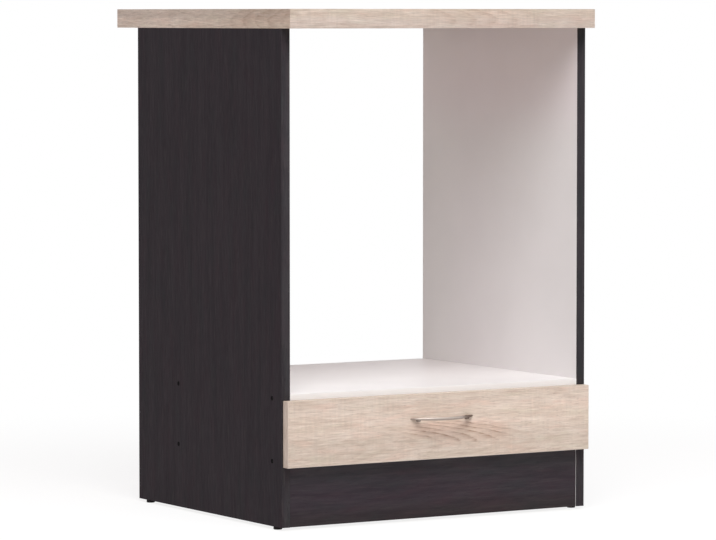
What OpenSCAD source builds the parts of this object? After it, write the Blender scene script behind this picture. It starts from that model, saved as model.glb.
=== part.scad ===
// Oven base cabinet: an open niche for a built-in oven, standing over one shallow drawer.
// Millimetres, +Z up. The front faces -Y, and the origin is on the floor under the middle of the whole.
// Pieces are placed in the carcass frame: x = 0 in the middle, y = 0 at the front edges of the side panels,
// z = 0 at their lower edges. What comes in pairs is drawn for the right side, +X, and mirrored.

/* [Carcass] */
// Width over both side panels
cabinet_w = 600; // [500:1:700]
// Depth of the side panels
panel_d = 495; // [480:1:560]
// Height of the side panels
panel_h = 820; // [700:1:900]
// Thickness of the laminated boards
board_t = 16; // [15:0.5:18]
// Thickness of the white facing on the inner side of each side panel
facing_t = 0.4; // [0.3:0.1:0.6]
// Thickness of the edge bands
band_t = 0.8; // [0.5:0.1:1.5]
// Height of the bottom panel's underside over the lower edges of the side panels
bottom_z = 100; // [90:1:150]
// Clear height between the bottom panel and the oven shelf
drawer_bay_h = 88; // [84:1:120]
// Thickness of the hardboard sheets
hardboard_t = 3; // [2.5:0.5:4]
// How far the rear sheet stays inside the bottom panel's underside and the shelf's top
back_inset = 2; // [1:1:5]

/* [Worktop] */
// Depth of the worktop
worktop_d = 600; // [560:1:650]
// Thickness of the worktop with its laminate
worktop_t = 32; // [28:1:40]
// Thickness of the laminate on the worktop
laminate_t = 0.8; // [0.6:0.1:1.2]
// How far the worktop stands out in front of the side panels
worktop_overhang = 29; // [15:1:40]

/* [Plinth and glides] */
// How far the plinth board lies behind the front edges of the side panels
plinth_recess = 2; // [1:1:40]
// Width of a corner block behind the plinth
block_w = 28; // [24:1:32]
// Height of a corner block
block_h = 60; // [50:1:80]
// Height of a corner block's lower end over the plinth's lower edge
block_z = 20; // [5:1:25]
// Diameter of a corner block's screws
block_screw_d = 4; // [3:0.5:5]
// Length of a corner block's screws
block_screw_l = 38; // [34:1:39]
// Diameter of a glide
glide_d = 14.5; // [12:0.5:15]
// Height of a glide
glide_h = 5; // [4:1:8]
// Distance of a glide's middle from the end of the panel's lower edge
glide_inset = 27; // [15:1:60]
// Diameter of a glide's nail
glide_nail_d = 2; // [1.6:0.2:2.4]
// Length of a glide's nail
glide_nail_l = 20; // [14:1:26]

/* [Joints of the carcass] */
// Diameter of the threaded shank of a joint screw
joint_screw_d = 5; // [4:0.5:6]
// Length of a joint screw
joint_screw_l = 50; // [40:1:60]
// Diameter of a joint screw's head
joint_head_d = 8; // [7:0.5:10]
// Height of a joint screw's head
joint_head_h = 3.5; // [3:0.5:5]
// Width across the flats of a joint screw's socket
socket_w = 3; // [2.5:0.5:4]
// Depth of a joint screw's socket
socket_depth = 2.5; // [2:0.5:3]
// How deep a joint screw's head lies in the panel
head_sink = 1.2; // [1:0.1:2]
// Thickness of a screw cap
cap_t = 0.9; // [0.6:0.1:1]
// Distance of the front joint screws from the front edge
joint_screw_y = 32; // [25:1:60]
// Distance from a front joint screw to the rear one
joint_screw_pitch = 320; // [250:1:380]
// Diameter of a wooden dowel
dowel_d = 8; // [6:1:8]
// Length of a wooden dowel
dowel_l = 30; // [26:1:35]
// Length of a dowel that is in the side panel or in the drawer front
dowel_in = 10; // [8:1:11]
// Distance of the outer dowels from the ends of a side panel's edge
dowel_inset = 48; // [40:1:80]
// Diameter of a hardboard nail's shank
nail_d = 1.8; // [1.4:0.2:2.2]
// Length of a hardboard nail
nail_l = 20; // [15:1:25]
// Diameter of a hardboard nail's head
nail_head_d = 4; // [3:0.5:5]
// Thickness of a hardboard nail's head
nail_head_t = 0.7; // [0.5:0.1:1]
// Largest distance between hardboard nails
nail_pitch = 140; // [80:10:250]

/* [Drawer] */
// Height of the drawer front
front_h = 110; // [100:1:115]
// How far the drawer front stays inside the cabinet's width on each side
front_inset = 2; // [1:0.5:3]
// Gap between the drawer front and the side panels
front_gap = 1; // [0.8:0.1:3]
// Free room between the drawer box and the rear sheet
box_room = 43; // [35:1:90]
// Height of the drawer box's sides
box_h = 66; // [60:1:70]
// Height of the drawer box over the bottom panel
box_lift = 8; // [7:1:10]
// Height of the drawer's bottom sheet over the sides' lower edges
sheet_lift = 5; // [4:0.5:6]
// Depth of the grooves that hold the bottom sheet
groove_depth = 6; // [5:0.5:7]
// How far the drawer's back board stays below the sides' upper edges
back_drop = 4; // [0:1:8]
// Diameter of a cam lock
cam_d = 15; // [12:1:16]
// Thickness of a cam lock
cam_t = 12.3; // [11:0.1:12.5]
// Distance from the drawer front to the middle of a cam lock
cam_reach = 24; // [22:1:34]
// Diameter of a cam bolt
cam_bolt_d = 6; // [5:0.5:7]
// Length of a cam bolt that is in the drawer front
cam_bolt_in = 11; // [8:1:12]
// Diameter of a bumper
bumper_d = 8; // [6:1:10]
// Distance of a bumper's middle from the upper or lower edge of the front
bumper_inset = 14; // [10:1:25]

/* [Roller runners] */
// Space for a runner between the drawer side and the side panel
runner_gap = 12.5; // [12.5:0.5:14]
// Thickness of the runners' sheet steel
steel_t = 1.2; // [1:0.1:1.3]
// Travel of the drawer from closed to the stop
drawer_travel = 330; // [250:1:340]
// Height of the stop that catches the rear roller
stop_h = 3; // [2:0.5:4]
// Length of the stop along the runner
stop_l = 6; // [4:1:10]
// Distance of the cabinet runner from the panel's front edge
runner_y = 2; // [1:1:4]
// Diameter of a roller
roller_d = 17; // [16:0.5:17.5]
// Width of a roller
roller_w = 6; // [5:0.5:6.5]
// Diameter of a roller's axle
axle_d = 5; // [4:0.5:6]
// Diameter of an axle's head
axle_head_d = 8; // [7:0.5:9]
// Thickness of an axle's head
axle_head_t = 0.4; // [0.3:0.1:0.5]
// Distance of an axle from the end of its runner
axle_inset = 10; // [9.5:0.5:14]
// Height of the inner lip of the cabinet runner
lip_h = 3.7; // [2:0.1:3.8]
// Length that the cabinet runner's upper flange leaves free for the front roller
flange_cut = 25; // [21:1:30]
// Width of the upper flange of the cabinet runner
upper_flange_w = 8; // [6:0.5:8]
// Width of the lower flange of the drawer runner
foot_flange_w = 14; // [10:1:15]
// Diameter of a runner screw
runner_screw_d = 3.5; // [3:0.1:4]
// Length of a runner screw
runner_screw_l = 13; // [11:0.5:14]
// Diameter of a runner screw's head
runner_head_d = 6; // [5:0.5:6.5]
// Thickness of a runner screw's head
runner_head_t = 0.7; // [0.5:0.1:0.8]
// Distance of the first runner screw from the panel's front edge
runner_screw_y = 37; // [32:1:45]
// Distance of the last runner screw from the runner's rear end
runner_screw_end = 31; // [26:1:60]

/* [Handle] */
// Length of the handle over its tips
handle_l = 125; // [118:1:160]
// How far the handle stands out from the drawer front
handle_reach = 25; // [22:1:35]
// Height of the handle's bar
handle_bar_h = 6.5; // [5:0.5:10]
// Thickness of the handle's bar
handle_bar_t = 4.5; // [4:0.5:6]
// Radius on the edges of the handle's bar
handle_edge_r = 1.5; // [0.5:0.1:2]
// Distance between the handle's screws
handle_pitch = 96; // [80:1:96]
// Diameter of the handle's posts
handle_post_d = 8; // [6:0.5:10]
// Distance from the front's upper edge down to the middle of the handle
handle_drop = 42; // [30:1:60]
// Diameter of a handle screw
handle_screw_d = 4; // [3:0.5:4]
// Length of a handle screw's thread inside the handle
handle_thread_l = 8; // [6:0.5:8.5]
// Diameter of a handle screw's head
handle_head_d = 8; // [7:0.5:10]
// Height of a handle screw's head
handle_head_h = 2.6; // [2:0.1:3]

/* [Clearances] */
// Radial clearance of a fastener in its hole, and of a sheet in its groove
fit_gap = 0.1; // [0.05:0.01:0.15]
// Radial clearance of a roller on its axle
axle_gap = 0.05; // [0.02:0.01:0.08]
// Gap between a roller and the face that it rolls on
rolling_gap = 0.15; // [0.1:0.05:0.3]
// Gap between the rear roller and the upper flange over it
channel_play = 0.45; // [0.3:0.05:0.6]
// Gap between parts of the two runners that pass each other
passing_gap = 1; // [0.8:0.1:1.2]
// Play of a roller along its axle on each side
side_play = 0.2; // [0.1:0.05:0.25]
// Gap between the drawer runner and the rollers' inner faces
roller_offset = 2.5; // [2.4:0.1:2.8]
// Gap between the channel's lip and the rollers
lip_gap = 0.5; // [0.3:0.1:0.6]
// Length that a blind hole is deeper than what is in it
hole_spare = 0.5; // [0.3:0.1:1]

/* [Hidden] */
$fn = 64;
LEFT = -1;
RIGHT = 1;

// Carcass: faces that the pieces share
side_x = cabinet_w / 2;
bay_x = side_x - board_t;
bottom_top = bottom_z + board_t;
shelf_z = bottom_top + drawer_bay_h;
shelf_top = shelf_z + board_t;
inner_d = panel_d - hardboard_t;
worktop_front = -worktop_overhang;
worktop_back = worktop_front + worktop_d;
joint_ys = [joint_screw_y, joint_screw_y + joint_screw_pitch];
board_zs = [bottom_z + board_t / 2, shelf_z + board_t / 2];
dowel_ys = [joint_screw_y + joint_screw_pitch / 2, panel_d - dowel_inset];
worktop_dowel_ys = [dowel_inset, panel_d / 2, panel_d - dowel_inset];
head_bore_d = joint_head_d + 2 * fit_gap;
screw_bore_d = joint_screw_d + 2 * fit_gap;

// Drawer: the front's rear face, the box's outer faces and its lower edge
front_back_y = -front_gap;
front_face_y = front_back_y - board_t;
front_x = side_x - front_inset;
front_top = bottom_z + front_h;
box_x = bay_x - runner_gap;
box_in_x = box_x - board_t;
box_mid_x = box_x - board_t / 2;
box_z = bottom_top + box_lift;
box_top = box_z + box_h;
box_back_y = inner_d - box_room;
sheet_z = box_z + sheet_lift;
sheet_top = sheet_z + hardboard_t;
cam_z = box_z + box_h / 2;
dowel_step = (box_h - board_t) / 3;
back_screw_zs = [cam_z - dowel_step / 2, cam_z + dowel_step];

// Runners: the cabinet channel, the drawer runner over it and the two rollers
channel_z = box_z - steel_t - lip_h - fit_gap;
channel_floor = channel_z + steel_t;
rear_roller_z = channel_floor + rolling_gap + roller_d / 2;
channel_ceiling = rear_roller_z + roller_d / 2 + channel_play;
member_flange_z = channel_ceiling + steel_t + passing_gap;
front_roller_z = member_flange_z - 2 * rolling_gap - roller_d / 2;
channel_web_x = bay_x - steel_t;
member_web_x = box_x + steel_t;
roller_in_x = member_web_x + roller_offset;
roller_out_x = roller_in_x + roller_w;
lip_x = roller_in_x - lip_gap - steel_t;
member_flange_x = roller_out_x + side_play;
channel_back_y = box_back_y - front_back_y + runner_y;
front_axle_y = runner_y + axle_inset;
rear_axle_y = box_back_y - axle_inset;
stop_rise = roller_d / 2 + rolling_gap - stop_h;
stop_y = rear_axle_y - drawer_travel - rolling_gap - sqrt(pow(roller_d / 2, 2) - pow(stop_rise, 2));
runner_screw_z = (channel_floor + channel_ceiling) / 2;
member_screw_z = (sheet_top + member_flange_z) / 2;
last_screw_y = channel_back_y - runner_screw_end;
runner_screw_ys = [runner_screw_y, (runner_screw_y + last_screw_y) / 2, last_screw_y];

// Handle: a bow that springs from the drawer front
handle_r = (pow(handle_l / 2, 2) + pow(handle_reach, 2)) / (2 * handle_reach);
handle_centre_y = front_face_y + handle_r - handle_reach;
handle_z = front_top - handle_drop;

// Place of the origin: under the middle of everything, on the floor
origin_y = (min(worktop_front, front_face_y - handle_reach) + worktop_back) / 2;

module in_row_frame() {
    translate([0, -origin_y, glide_h]) children();
}

module on_side(side) {
    if (side < 0) mirror([1, 0, 0]) children();
    else children();
}

module on_both_sides() {
    children();
    mirror([1, 0, 0]) children();
}

module block(low, high) {
    translate(low) cube(high - low);
}

// A round bar from one point along an axis: the point, the diameter and the length with its sign
module bar_x(p, d, l) {
    translate(p) rotate([0, l < 0 ? -90 : 90, 0]) cylinder(d = d, h = abs(l));
}

module bar_y(p, d, l) {
    translate(p) rotate([l < 0 ? 90 : -90, 0, 0]) cylinder(d = d, h = abs(l));
}

// A wooden dowel that stands on the origin, with chamfered ends
module dowel() {
    chamfer = dowel_d / 8;
    rotate_extrude() polygon([
        [0, 0], [dowel_d / 2 - chamfer, 0], [dowel_d / 2, chamfer],
        [dowel_d / 2, dowel_l - chamfer], [dowel_d / 2 - chamfer, dowel_l], [0, dowel_l]
    ]);
}

module dowel_hole(depth) {
    cylinder(d = dowel_d + 2 * fit_gap, h = depth);
}

// A joint screw from the top of its head along +Z, with its hexagonal socket
module joint_screw() {
    difference() {
        union() {
            cylinder(d = joint_head_d, h = joint_head_h);
            cylinder(d = joint_screw_d, h = joint_screw_l);
        }
        translate([0, 0, -1]) cylinder(d = socket_w / cos(30), h = socket_depth + 1, $fn = 6);
    }
}

// The stepped hole of a joint screw: its mouth is at z = 0 on the outer face
module joint_screw_hole(sink) {
    translate([0, 0, -1]) cylinder(d = head_bore_d, h = 1 + sink + joint_head_h + fit_gap);
    cylinder(d = screw_bore_d, h = sink + joint_screw_l + hole_spare);
}

module screw_cap() {
    stem_d = (socket_w - 2 * fit_gap) / cos(30);
    translate([0, 0, head_sink - cap_t]) cylinder(d = joint_head_d, h = cap_t);
    translate([0, 0, head_sink]) cylinder(d = stem_d, h = socket_depth - hole_spare, $fn = 6);
}

// Frames on the right side panel's outer face, with +Z into the cabinet
module at_joint_screws() {
    for (y = joint_ys, z = board_zs) translate([side_x, y, z]) rotate([0, -90, 0]) children();
}

// Frames at the outer ends of the dowels between the side panel and the boards
module at_board_dowels(zs) {
    for (y = dowel_ys, z = zs) translate([bay_x + dowel_in, y, z]) rotate([0, -90, 0]) children();
}

module at_worktop_dowels() {
    for (y = worktop_dowel_ys)
        translate([side_x - board_t / 2, y, panel_h - dowel_l / 2]) children();
}

// The side panel's full outline, and all that is drilled into the panel from its four sides
module side_outline(x0, x1) {
    block([x0, band_t, 0], [x1, panel_d, panel_h]);
}

module side_drilling() {
    at_joint_screws() joint_screw_hole(head_sink);
    at_board_dowels(board_zs) translate([0, 0, -hole_spare]) dowel_hole(dowel_l);
    at_worktop_dowels() translate([0, 0, -hole_spare]) dowel_hole(dowel_l);
    at_glides() translate([0, 0, -1])
        cylinder(d = glide_nail_d + 2 * fit_gap, h = glide_nail_l + 1);
    at_channel_screws() runner_screw_hole();
    at_block_screws() block_screw_hole();
}

module side_panel(side) {
    color([0.20, 0.18, 0.19]) in_row_frame() on_side(side) difference() {
        side_outline(bay_x + facing_t, side_x);
        side_drilling();
    }
}

module side_facing(side) {
    color([0.93, 0.92, 0.90]) in_row_frame() on_side(side) difference() {
        side_outline(bay_x, bay_x + facing_t);
        side_drilling();
    }
}

module side_edge_band(side) {
    color([0.25, 0.24, 0.25]) in_row_frame() on_side(side)
        block([bay_x, 0, 0], [side_x, band_t, panel_h]);
}

module side_panel_left() { side_panel(LEFT); }
module side_panel_right() { side_panel(RIGHT); }
module side_facing_left() { side_facing(LEFT); }
module side_facing_right() { side_facing(RIGHT); }
module side_edge_band_left() { side_edge_band(LEFT); }
module side_edge_band_right() { side_edge_band(RIGHT); }

// A board between the side panels, with the holes of its screws, dowels and nails
module cross_board(z) {
    difference() {
        block([-bay_x, band_t, z], [bay_x, inner_d, z + board_t]);
        on_both_sides() {
            at_joint_screws() joint_screw_hole(head_sink);
            at_board_dowels(board_zs) dowel_hole(dowel_l + hole_spare);
        }
        at_back_nails() nail_hole();
    }
}

module cross_board_band(z) {
    block([-bay_x, 0, z], [bay_x, band_t, z + board_t]);
}

module oven_shelf() {
    color([0.94, 0.93, 0.91]) in_row_frame() cross_board(shelf_z);
}

module shelf_edge_band() {
    color([0.96, 0.95, 0.93]) in_row_frame() cross_board_band(shelf_z);
}

module bottom_panel() {
    color([0.92, 0.91, 0.89]) in_row_frame() cross_board(bottom_z);
}

module bottom_edge_band() {
    color([0.95, 0.94, 0.92]) in_row_frame() cross_board_band(bottom_z);
}

// The plinth board, and the corner blocks that hold it to the side panels
block_back_y = plinth_recess + board_t + block_w;
block_in_x = bay_x - block_w;

module at_block_screws() {
    low_z = block_z + block_h / 4;
    high_z = block_z + block_h * 3 / 4;
    translate([bay_x - block_w / 2, block_back_y, low_z]) rotate([90, 0, 0]) children();
    translate([block_in_x, block_back_y - block_w / 2, high_z]) rotate([0, 90, 0]) children();
}

module block_screw() {
    cylinder(d1 = 2 * block_screw_d, d2 = block_screw_d, h = block_screw_d / 2);
    cylinder(d = block_screw_d, h = block_screw_l);
}

module block_screw_hole() {
    head_d = 2 * (block_screw_d + fit_gap);
    translate([0, 0, -fit_gap]) cylinder(d1 = head_d + 2 * fit_gap, d2 = head_d / 2, h = head_d / 4);
    cylinder(d = block_screw_d + 2 * fit_gap, h = block_screw_l + hole_spare);
}

module plinth_board() {
    color([0.24, 0.22, 0.23]) in_row_frame() difference() {
        block([-bay_x, plinth_recess, 0], [bay_x, plinth_recess + board_t, bottom_z]);
        on_both_sides() at_block_screws() block_screw_hole();
    }
}

module plinth_blocks() {
    color([0.80, 0.68, 0.50]) in_row_frame() on_both_sides() difference() {
        block([block_in_x, plinth_recess + board_t, block_z], [bay_x, block_back_y, block_z + block_h]);
        at_block_screws() block_screw_hole();
    }
}

module plinth_block_screws() {
    color([0.75, 0.72, 0.60]) in_row_frame() on_both_sides() at_block_screws() block_screw();
}

// The hardboard sheet that closes the drawer bay at the rear, nailed to the shelf and the bottom panel
nail_count = ceil((2 * bay_x - 2 * dowel_inset) / nail_pitch);
nail_step = (2 * bay_x - 2 * dowel_inset) / nail_count;

module at_back_nails() {
    for (i = [0:nail_count], z = board_zs)
        translate([i * nail_step + dowel_inset - bay_x, panel_d, z]) rotate([90, 0, 0]) children();
}

module nail() {
    translate([0, 0, -nail_head_t]) cylinder(d = nail_head_d, h = nail_head_t);
    cylinder(d = nail_d, h = nail_l);
}

module nail_hole() {
    translate([0, 0, -1]) cylinder(d = nail_d + 2 * fit_gap, h = nail_l + 1 + hole_spare);
}

module back_panel() {
    color([0.62, 0.48, 0.34]) in_row_frame() difference() {
        block(
            [-bay_x + fit_gap, inner_d, bottom_z + back_inset],
            [bay_x - fit_gap, panel_d, shelf_top - back_inset]
        );
        at_back_nails() nail_hole();
    }
}

module back_panel_nails() {
    color([0.70, 0.70, 0.72]) in_row_frame() at_back_nails() nail();
}

// The worktop: a core board, a laminate on top and bands on the front and the two ends
worktop_z = panel_h;
worktop_top = worktop_z + worktop_t;

module worktop_core() {
    color([0.72, 0.60, 0.45]) in_row_frame() difference() {
        block(
            [-side_x + band_t, worktop_front + band_t, worktop_z],
            [side_x - band_t, worktop_back, worktop_top - laminate_t]
        );
        on_both_sides() at_worktop_dowels() dowel_hole(dowel_l + hole_spare);
    }
}

module worktop_laminate() {
    color([0.80, 0.72, 0.62]) in_row_frame()
        block([-side_x, worktop_front, worktop_top - laminate_t], [side_x, worktop_back, worktop_top]);
}

module worktop_front_band() {
    color([0.81, 0.74, 0.68]) in_row_frame()
        block([-side_x, worktop_front, worktop_z], [side_x, worktop_front + band_t, worktop_top - laminate_t]);
}

module worktop_end_bands() {
    color([0.78, 0.70, 0.62]) in_row_frame() on_both_sides()
        block(
            [side_x - band_t, worktop_front + band_t, worktop_z],
            [side_x, worktop_back, worktop_top - laminate_t]
        );
}

// Fasteners of the carcass
module worktop_dowels() {
    color([0.85, 0.72, 0.52]) in_row_frame() on_both_sides() at_worktop_dowels() dowel();
}

module shelf_dowels() {
    color([0.85, 0.72, 0.52]) in_row_frame() on_both_sides() at_board_dowels([board_zs[1]]) dowel();
}

module bottom_dowels() {
    color([0.85, 0.72, 0.52]) in_row_frame() on_both_sides() at_board_dowels([board_zs[0]]) dowel();
}

module joint_screws(side) {
    color([0.75, 0.75, 0.77]) in_row_frame() on_side(side) at_joint_screws()
        translate([0, 0, head_sink]) joint_screw();
}

module screw_caps(side) {
    color([0.08, 0.07, 0.07]) in_row_frame() on_side(side) at_joint_screws() screw_cap();
}

module joint_screws_left() { joint_screws(LEFT); }
module joint_screws_right() { joint_screws(RIGHT); }
module screw_caps_left() { screw_caps(LEFT); }
module screw_caps_right() { screw_caps(RIGHT); }

// Glides: round feet with a bevelled foot edge, nailed into the side panels' lower edges
module at_glides(ys = [glide_inset, panel_d - glide_inset]) {
    for (y = ys) translate([side_x - board_t / 2, y, 0]) children();
}

module glide(side, y) {
    bevel = glide_h / 5;
    color([0.07, 0.07, 0.07]) in_row_frame() on_side(side) at_glides([y]) difference() {
        rotate_extrude() polygon([
            [0, -glide_h], [glide_d / 2 - bevel, -glide_h],
            [glide_d / 2, -glide_h + bevel], [glide_d / 2, 0], [0, 0]
        ]);
        translate([0, 0, -glide_h / 2])
            cylinder(d = glide_nail_d + 2 * fit_gap, h = glide_h);
        translate([0, 0, -glide_h / 2 - glide_nail_d / 4])
            cylinder(d = 2 * glide_nail_d + 2 * fit_gap, h = glide_nail_d / 2 + fit_gap);
    }
}

module glide_front_left() { glide(LEFT, glide_inset); }
module glide_front_right() { glide(RIGHT, glide_inset); }
module glide_rear_left() { glide(LEFT, panel_d - glide_inset); }
module glide_rear_right() { glide(RIGHT, panel_d - glide_inset); }

module glide_nails() {
    color([0.65, 0.65, 0.67]) in_row_frame() on_both_sides() at_glides()
        translate([0, 0, -glide_h / 2 - glide_nail_d / 4]) {
            cylinder(d = 2 * glide_nail_d, h = glide_nail_d / 2);
            cylinder(d = glide_nail_d, h = glide_nail_l);
        }
}

// Cabinet runner: a channel open towards the drawer, on which the rear roller runs
module cabinet_runner(side) {
    color([0.90, 0.90, 0.88]) in_row_frame() on_side(side) difference() {
        union() {
            block(
                [channel_web_x, runner_y, channel_z],
                [bay_x, channel_back_y, channel_ceiling + steel_t]
            );
            block([lip_x, runner_y, channel_z], [bay_x, channel_back_y, channel_floor]);
            block([lip_x, runner_y, channel_z], [lip_x + steel_t, channel_back_y, channel_z + lip_h]);
            block(
                [bay_x - upper_flange_w, runner_y + flange_cut, channel_ceiling],
                [bay_x, channel_back_y, channel_ceiling + steel_t]
            );
            block([lip_x, stop_y - stop_l, channel_z], [bay_x, stop_y, channel_floor + stop_h]);
        }
        at_channel_screws() runner_screw_hole();
        bar_x([channel_web_x - 1, front_axle_y, front_roller_z], axle_d + 2 * fit_gap, steel_t + 2);
    }
}

module cabinet_runner_left() { cabinet_runner(LEFT); }
module cabinet_runner_right() { cabinet_runner(RIGHT); }

// A runner screw whose head's underside is at z = 0, with the shank along +Z
module runner_screw() {
    difference() {
        union() {
            translate([0, 0, -runner_head_t]) cylinder(d = runner_head_d, h = runner_head_t);
            cylinder(d = runner_screw_d, h = runner_screw_l);
        }
        translate([0, 0, -2 * runner_head_t])
            cylinder(d = runner_screw_d / 2, h = 2 * runner_head_t + runner_screw_d / 4, $fn = 4);
    }
}

module runner_screw_hole() {
    translate([0, 0, -1]) cylinder(d = runner_screw_d + 2 * fit_gap, h = 1 + runner_screw_l + hole_spare);
}

module at_channel_screws() {
    for (y = runner_screw_ys)
        translate([channel_web_x, y, runner_screw_z]) rotate([0, 90, 0]) children();
}

module at_member_screws() {
    for (y = runner_screw_ys)
        translate([member_web_x, y - runner_y, member_screw_z]) rotate([0, -90, 0]) children();
}

module cabinet_runner_screws() {
    color([0.72, 0.72, 0.74]) in_row_frame() on_both_sides() at_channel_screws() runner_screw();
}

// An axle along +X: a shoulder, the journal of the roller and a rivet head
module front_roller_axles() {
    color([0.70, 0.70, 0.72]) in_row_frame() on_both_sides() {
        bar_x([bay_x, front_axle_y, front_roller_z], axle_d, roller_in_x - side_play - bay_x);
        bar_x(
            [channel_web_x, front_axle_y, front_roller_z],
            axle_head_d, roller_out_x + side_play - channel_web_x
        );
        bar_x([roller_in_x - side_play, front_axle_y, front_roller_z], axle_head_d, -axle_head_t);
    }
}

module rear_roller_axles() {
    color([0.70, 0.70, 0.72]) in_row_frame() on_both_sides() {
        bar_x([box_x, rear_axle_y, rear_roller_z], axle_d, roller_out_x + side_play - box_x);
        bar_x(
            [member_web_x, rear_axle_y, rear_roller_z],
            axle_head_d, roller_in_x - side_play - member_web_x
        );
        bar_x([roller_out_x + side_play, rear_axle_y, rear_roller_z], axle_head_d, axle_head_t);
    }
}

// A nylon roller with rounded rims and a shallow ring groove on each face
module roller(side, y, z) {
    rim = roller_w / 10;
    groove_r = (roller_d + axle_d) / 4;
    color([0.93, 0.93, 0.90]) in_row_frame() on_side(side)
        translate([roller_in_x, y, z]) rotate([0, 90, 0]) difference() {
            rotate_extrude() polygon([
                [axle_d / 2 + axle_gap, 0], [roller_d / 2 - rim, 0], [roller_d / 2, rim],
                [roller_d / 2, roller_w - rim], [roller_d / 2 - rim, roller_w],
                [axle_d / 2 + axle_gap, roller_w]
            ]);
            for (z0 = [-rim, roller_w - rim]) translate([0, 0, z0]) difference() {
                cylinder(r = groove_r + rim, h = 2 * rim);
                translate([0, 0, -1]) cylinder(r = groove_r - rim, h = 2 * rim + 2);
            }
        }
}

module front_roller_left() { roller(LEFT, front_axle_y, front_roller_z); }
module front_roller_right() { roller(RIGHT, front_axle_y, front_roller_z); }
module rear_roller_left() { roller(LEFT, rear_axle_y, rear_roller_z); }
module rear_roller_right() { roller(RIGHT, rear_axle_y, rear_roller_z); }

// Drawer runner: a foot under the drawer side, a web against it and a flange that lies on the front roller
module drawer_runner(side) {
    color([0.90, 0.90, 0.88]) in_row_frame() on_side(side) difference() {
        union() {
            block([box_x, front_back_y, box_z - steel_t], [member_web_x, box_back_y, member_flange_z]);
            block(
                [box_x - foot_flange_w, front_back_y, box_z - steel_t],
                [member_web_x, box_back_y, box_z]
            );
            block(
                [box_x, front_back_y, member_flange_z],
                [member_flange_x, box_back_y, member_flange_z + steel_t]
            );
        }
        at_member_screws() runner_screw_hole();
        bar_x([box_x - 1, rear_axle_y, rear_roller_z], axle_d + 2 * fit_gap, steel_t + 2);
    }
}

module drawer_runner_left() { drawer_runner(LEFT); }
module drawer_runner_right() { drawer_runner(RIGHT); }

module drawer_runner_screws() {
    color([0.72, 0.72, 0.74]) in_row_frame() on_both_sides() at_member_screws() runner_screw();
}

// The groove for the drawer's bottom sheet, all round: wider and higher than the sheet by the clearance
module sheet_space(gap) {
    reach = groove_depth - hole_spare + gap;
    block(
        [-box_in_x - reach, front_back_y - reach, sheet_z - gap],
        [box_in_x + reach, box_back_y + 2 * gap, sheet_top + gap]
    );
}

// Fastener places of the drawer box, each with +Z away from the drawer front or into the board
module at_cam_bolts() {
    translate([box_mid_x, front_back_y, cam_z]) rotate([-90, 0, 0]) children();
}

module at_drawer_dowels() {
    for (dz = [-dowel_step, dowel_step])
        translate([box_mid_x, front_back_y - dowel_in, cam_z + dz]) rotate([-90, 0, 0]) children();
}

module at_drawer_back_screws() {
    for (z = back_screw_zs)
        translate([box_x, box_back_y - board_t / 2, z]) rotate([0, -90, 0]) children();
}

module cam_space(gap) {
    bar_x([box_in_x - (gap > 0 ? 1 : 0), front_back_y + cam_reach, cam_z],
        cam_d + 2 * gap, cam_t + gap + (gap > 0 ? 1 : 0));
}

module drawer_front_drilling() {
    on_both_sides() {
        at_cam_bolts() translate([0, 0, -cam_bolt_in - hole_spare])
            cylinder(d = cam_bolt_d + 2 * fit_gap, h = cam_bolt_in + hole_spare + 1);
        at_drawer_dowels() translate([0, 0, -hole_spare]) dowel_hole(dowel_l);
    }
    at_handle_screws() translate([0, 0, -1])
        cylinder(d = handle_screw_d + 4 * fit_gap, h = board_t + 2);
    sheet_space(fit_gap);
}

module drawer_front() {
    color([0.84, 0.78, 0.70]) in_row_frame() difference() {
        block(
            [-front_x + band_t, front_face_y, bottom_z + band_t],
            [front_x - band_t, front_back_y, front_top - band_t]
        );
        drawer_front_drilling();
    }
}

module drawer_front_bands() {
    color([0.82, 0.75, 0.68]) in_row_frame() {
        for (z = [bottom_z, front_top - band_t])
            block([-front_x, front_face_y, z], [front_x, front_back_y, z + band_t]);
        on_both_sides() block(
            [front_x - band_t, front_face_y, bottom_z + band_t],
            [front_x, front_back_y, front_top - band_t]
        );
    }
}

module drawer_side(side) {
    color([0.90, 0.89, 0.87]) in_row_frame() on_side(side) difference() {
        block([box_in_x, front_back_y, box_z], [box_x, box_back_y, box_top - band_t]);
        sheet_space(fit_gap);
        at_cam_bolts() translate([0, 0, -1])
            cylinder(d = cam_bolt_d + 2 * fit_gap, h = cam_reach + 1);
        cam_space(fit_gap);
        at_drawer_dowels() dowel_hole(dowel_l + hole_spare);
        at_drawer_back_screws() joint_screw_hole(0);
        at_member_screws() runner_screw_hole();
    }
}

module drawer_side_left() { drawer_side(LEFT); }
module drawer_side_right() { drawer_side(RIGHT); }

module drawer_side_bands() {
    color([0.95, 0.94, 0.92]) in_row_frame() on_both_sides()
        block([box_in_x, front_back_y, box_top - band_t], [box_x, box_back_y, box_top]);
}

module drawer_back() {
    color([0.90, 0.89, 0.87]) in_row_frame() difference() {
        block(
            [-box_in_x, box_back_y - board_t, sheet_top + fit_gap],
            [box_in_x, box_back_y, box_top - back_drop]
        );
        on_both_sides() at_drawer_back_screws() joint_screw_hole(0);
        at_sheet_nails() nail_hole();
    }
}

module drawer_bottom() {
    color([0.93, 0.92, 0.90]) in_row_frame() difference() {
        sheet_space(0);
        at_sheet_nails() nail_hole();
    }
}

// Nails that hold the bottom sheet to the drawer's back board, from below
module at_sheet_nails() {
    for (i = [-1:1])
        translate([i * nail_pitch, box_back_y - board_t / 2, sheet_z]) children();
}

module drawer_bottom_nails() {
    color([0.70, 0.70, 0.72]) in_row_frame() at_sheet_nails() nail();
}

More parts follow.
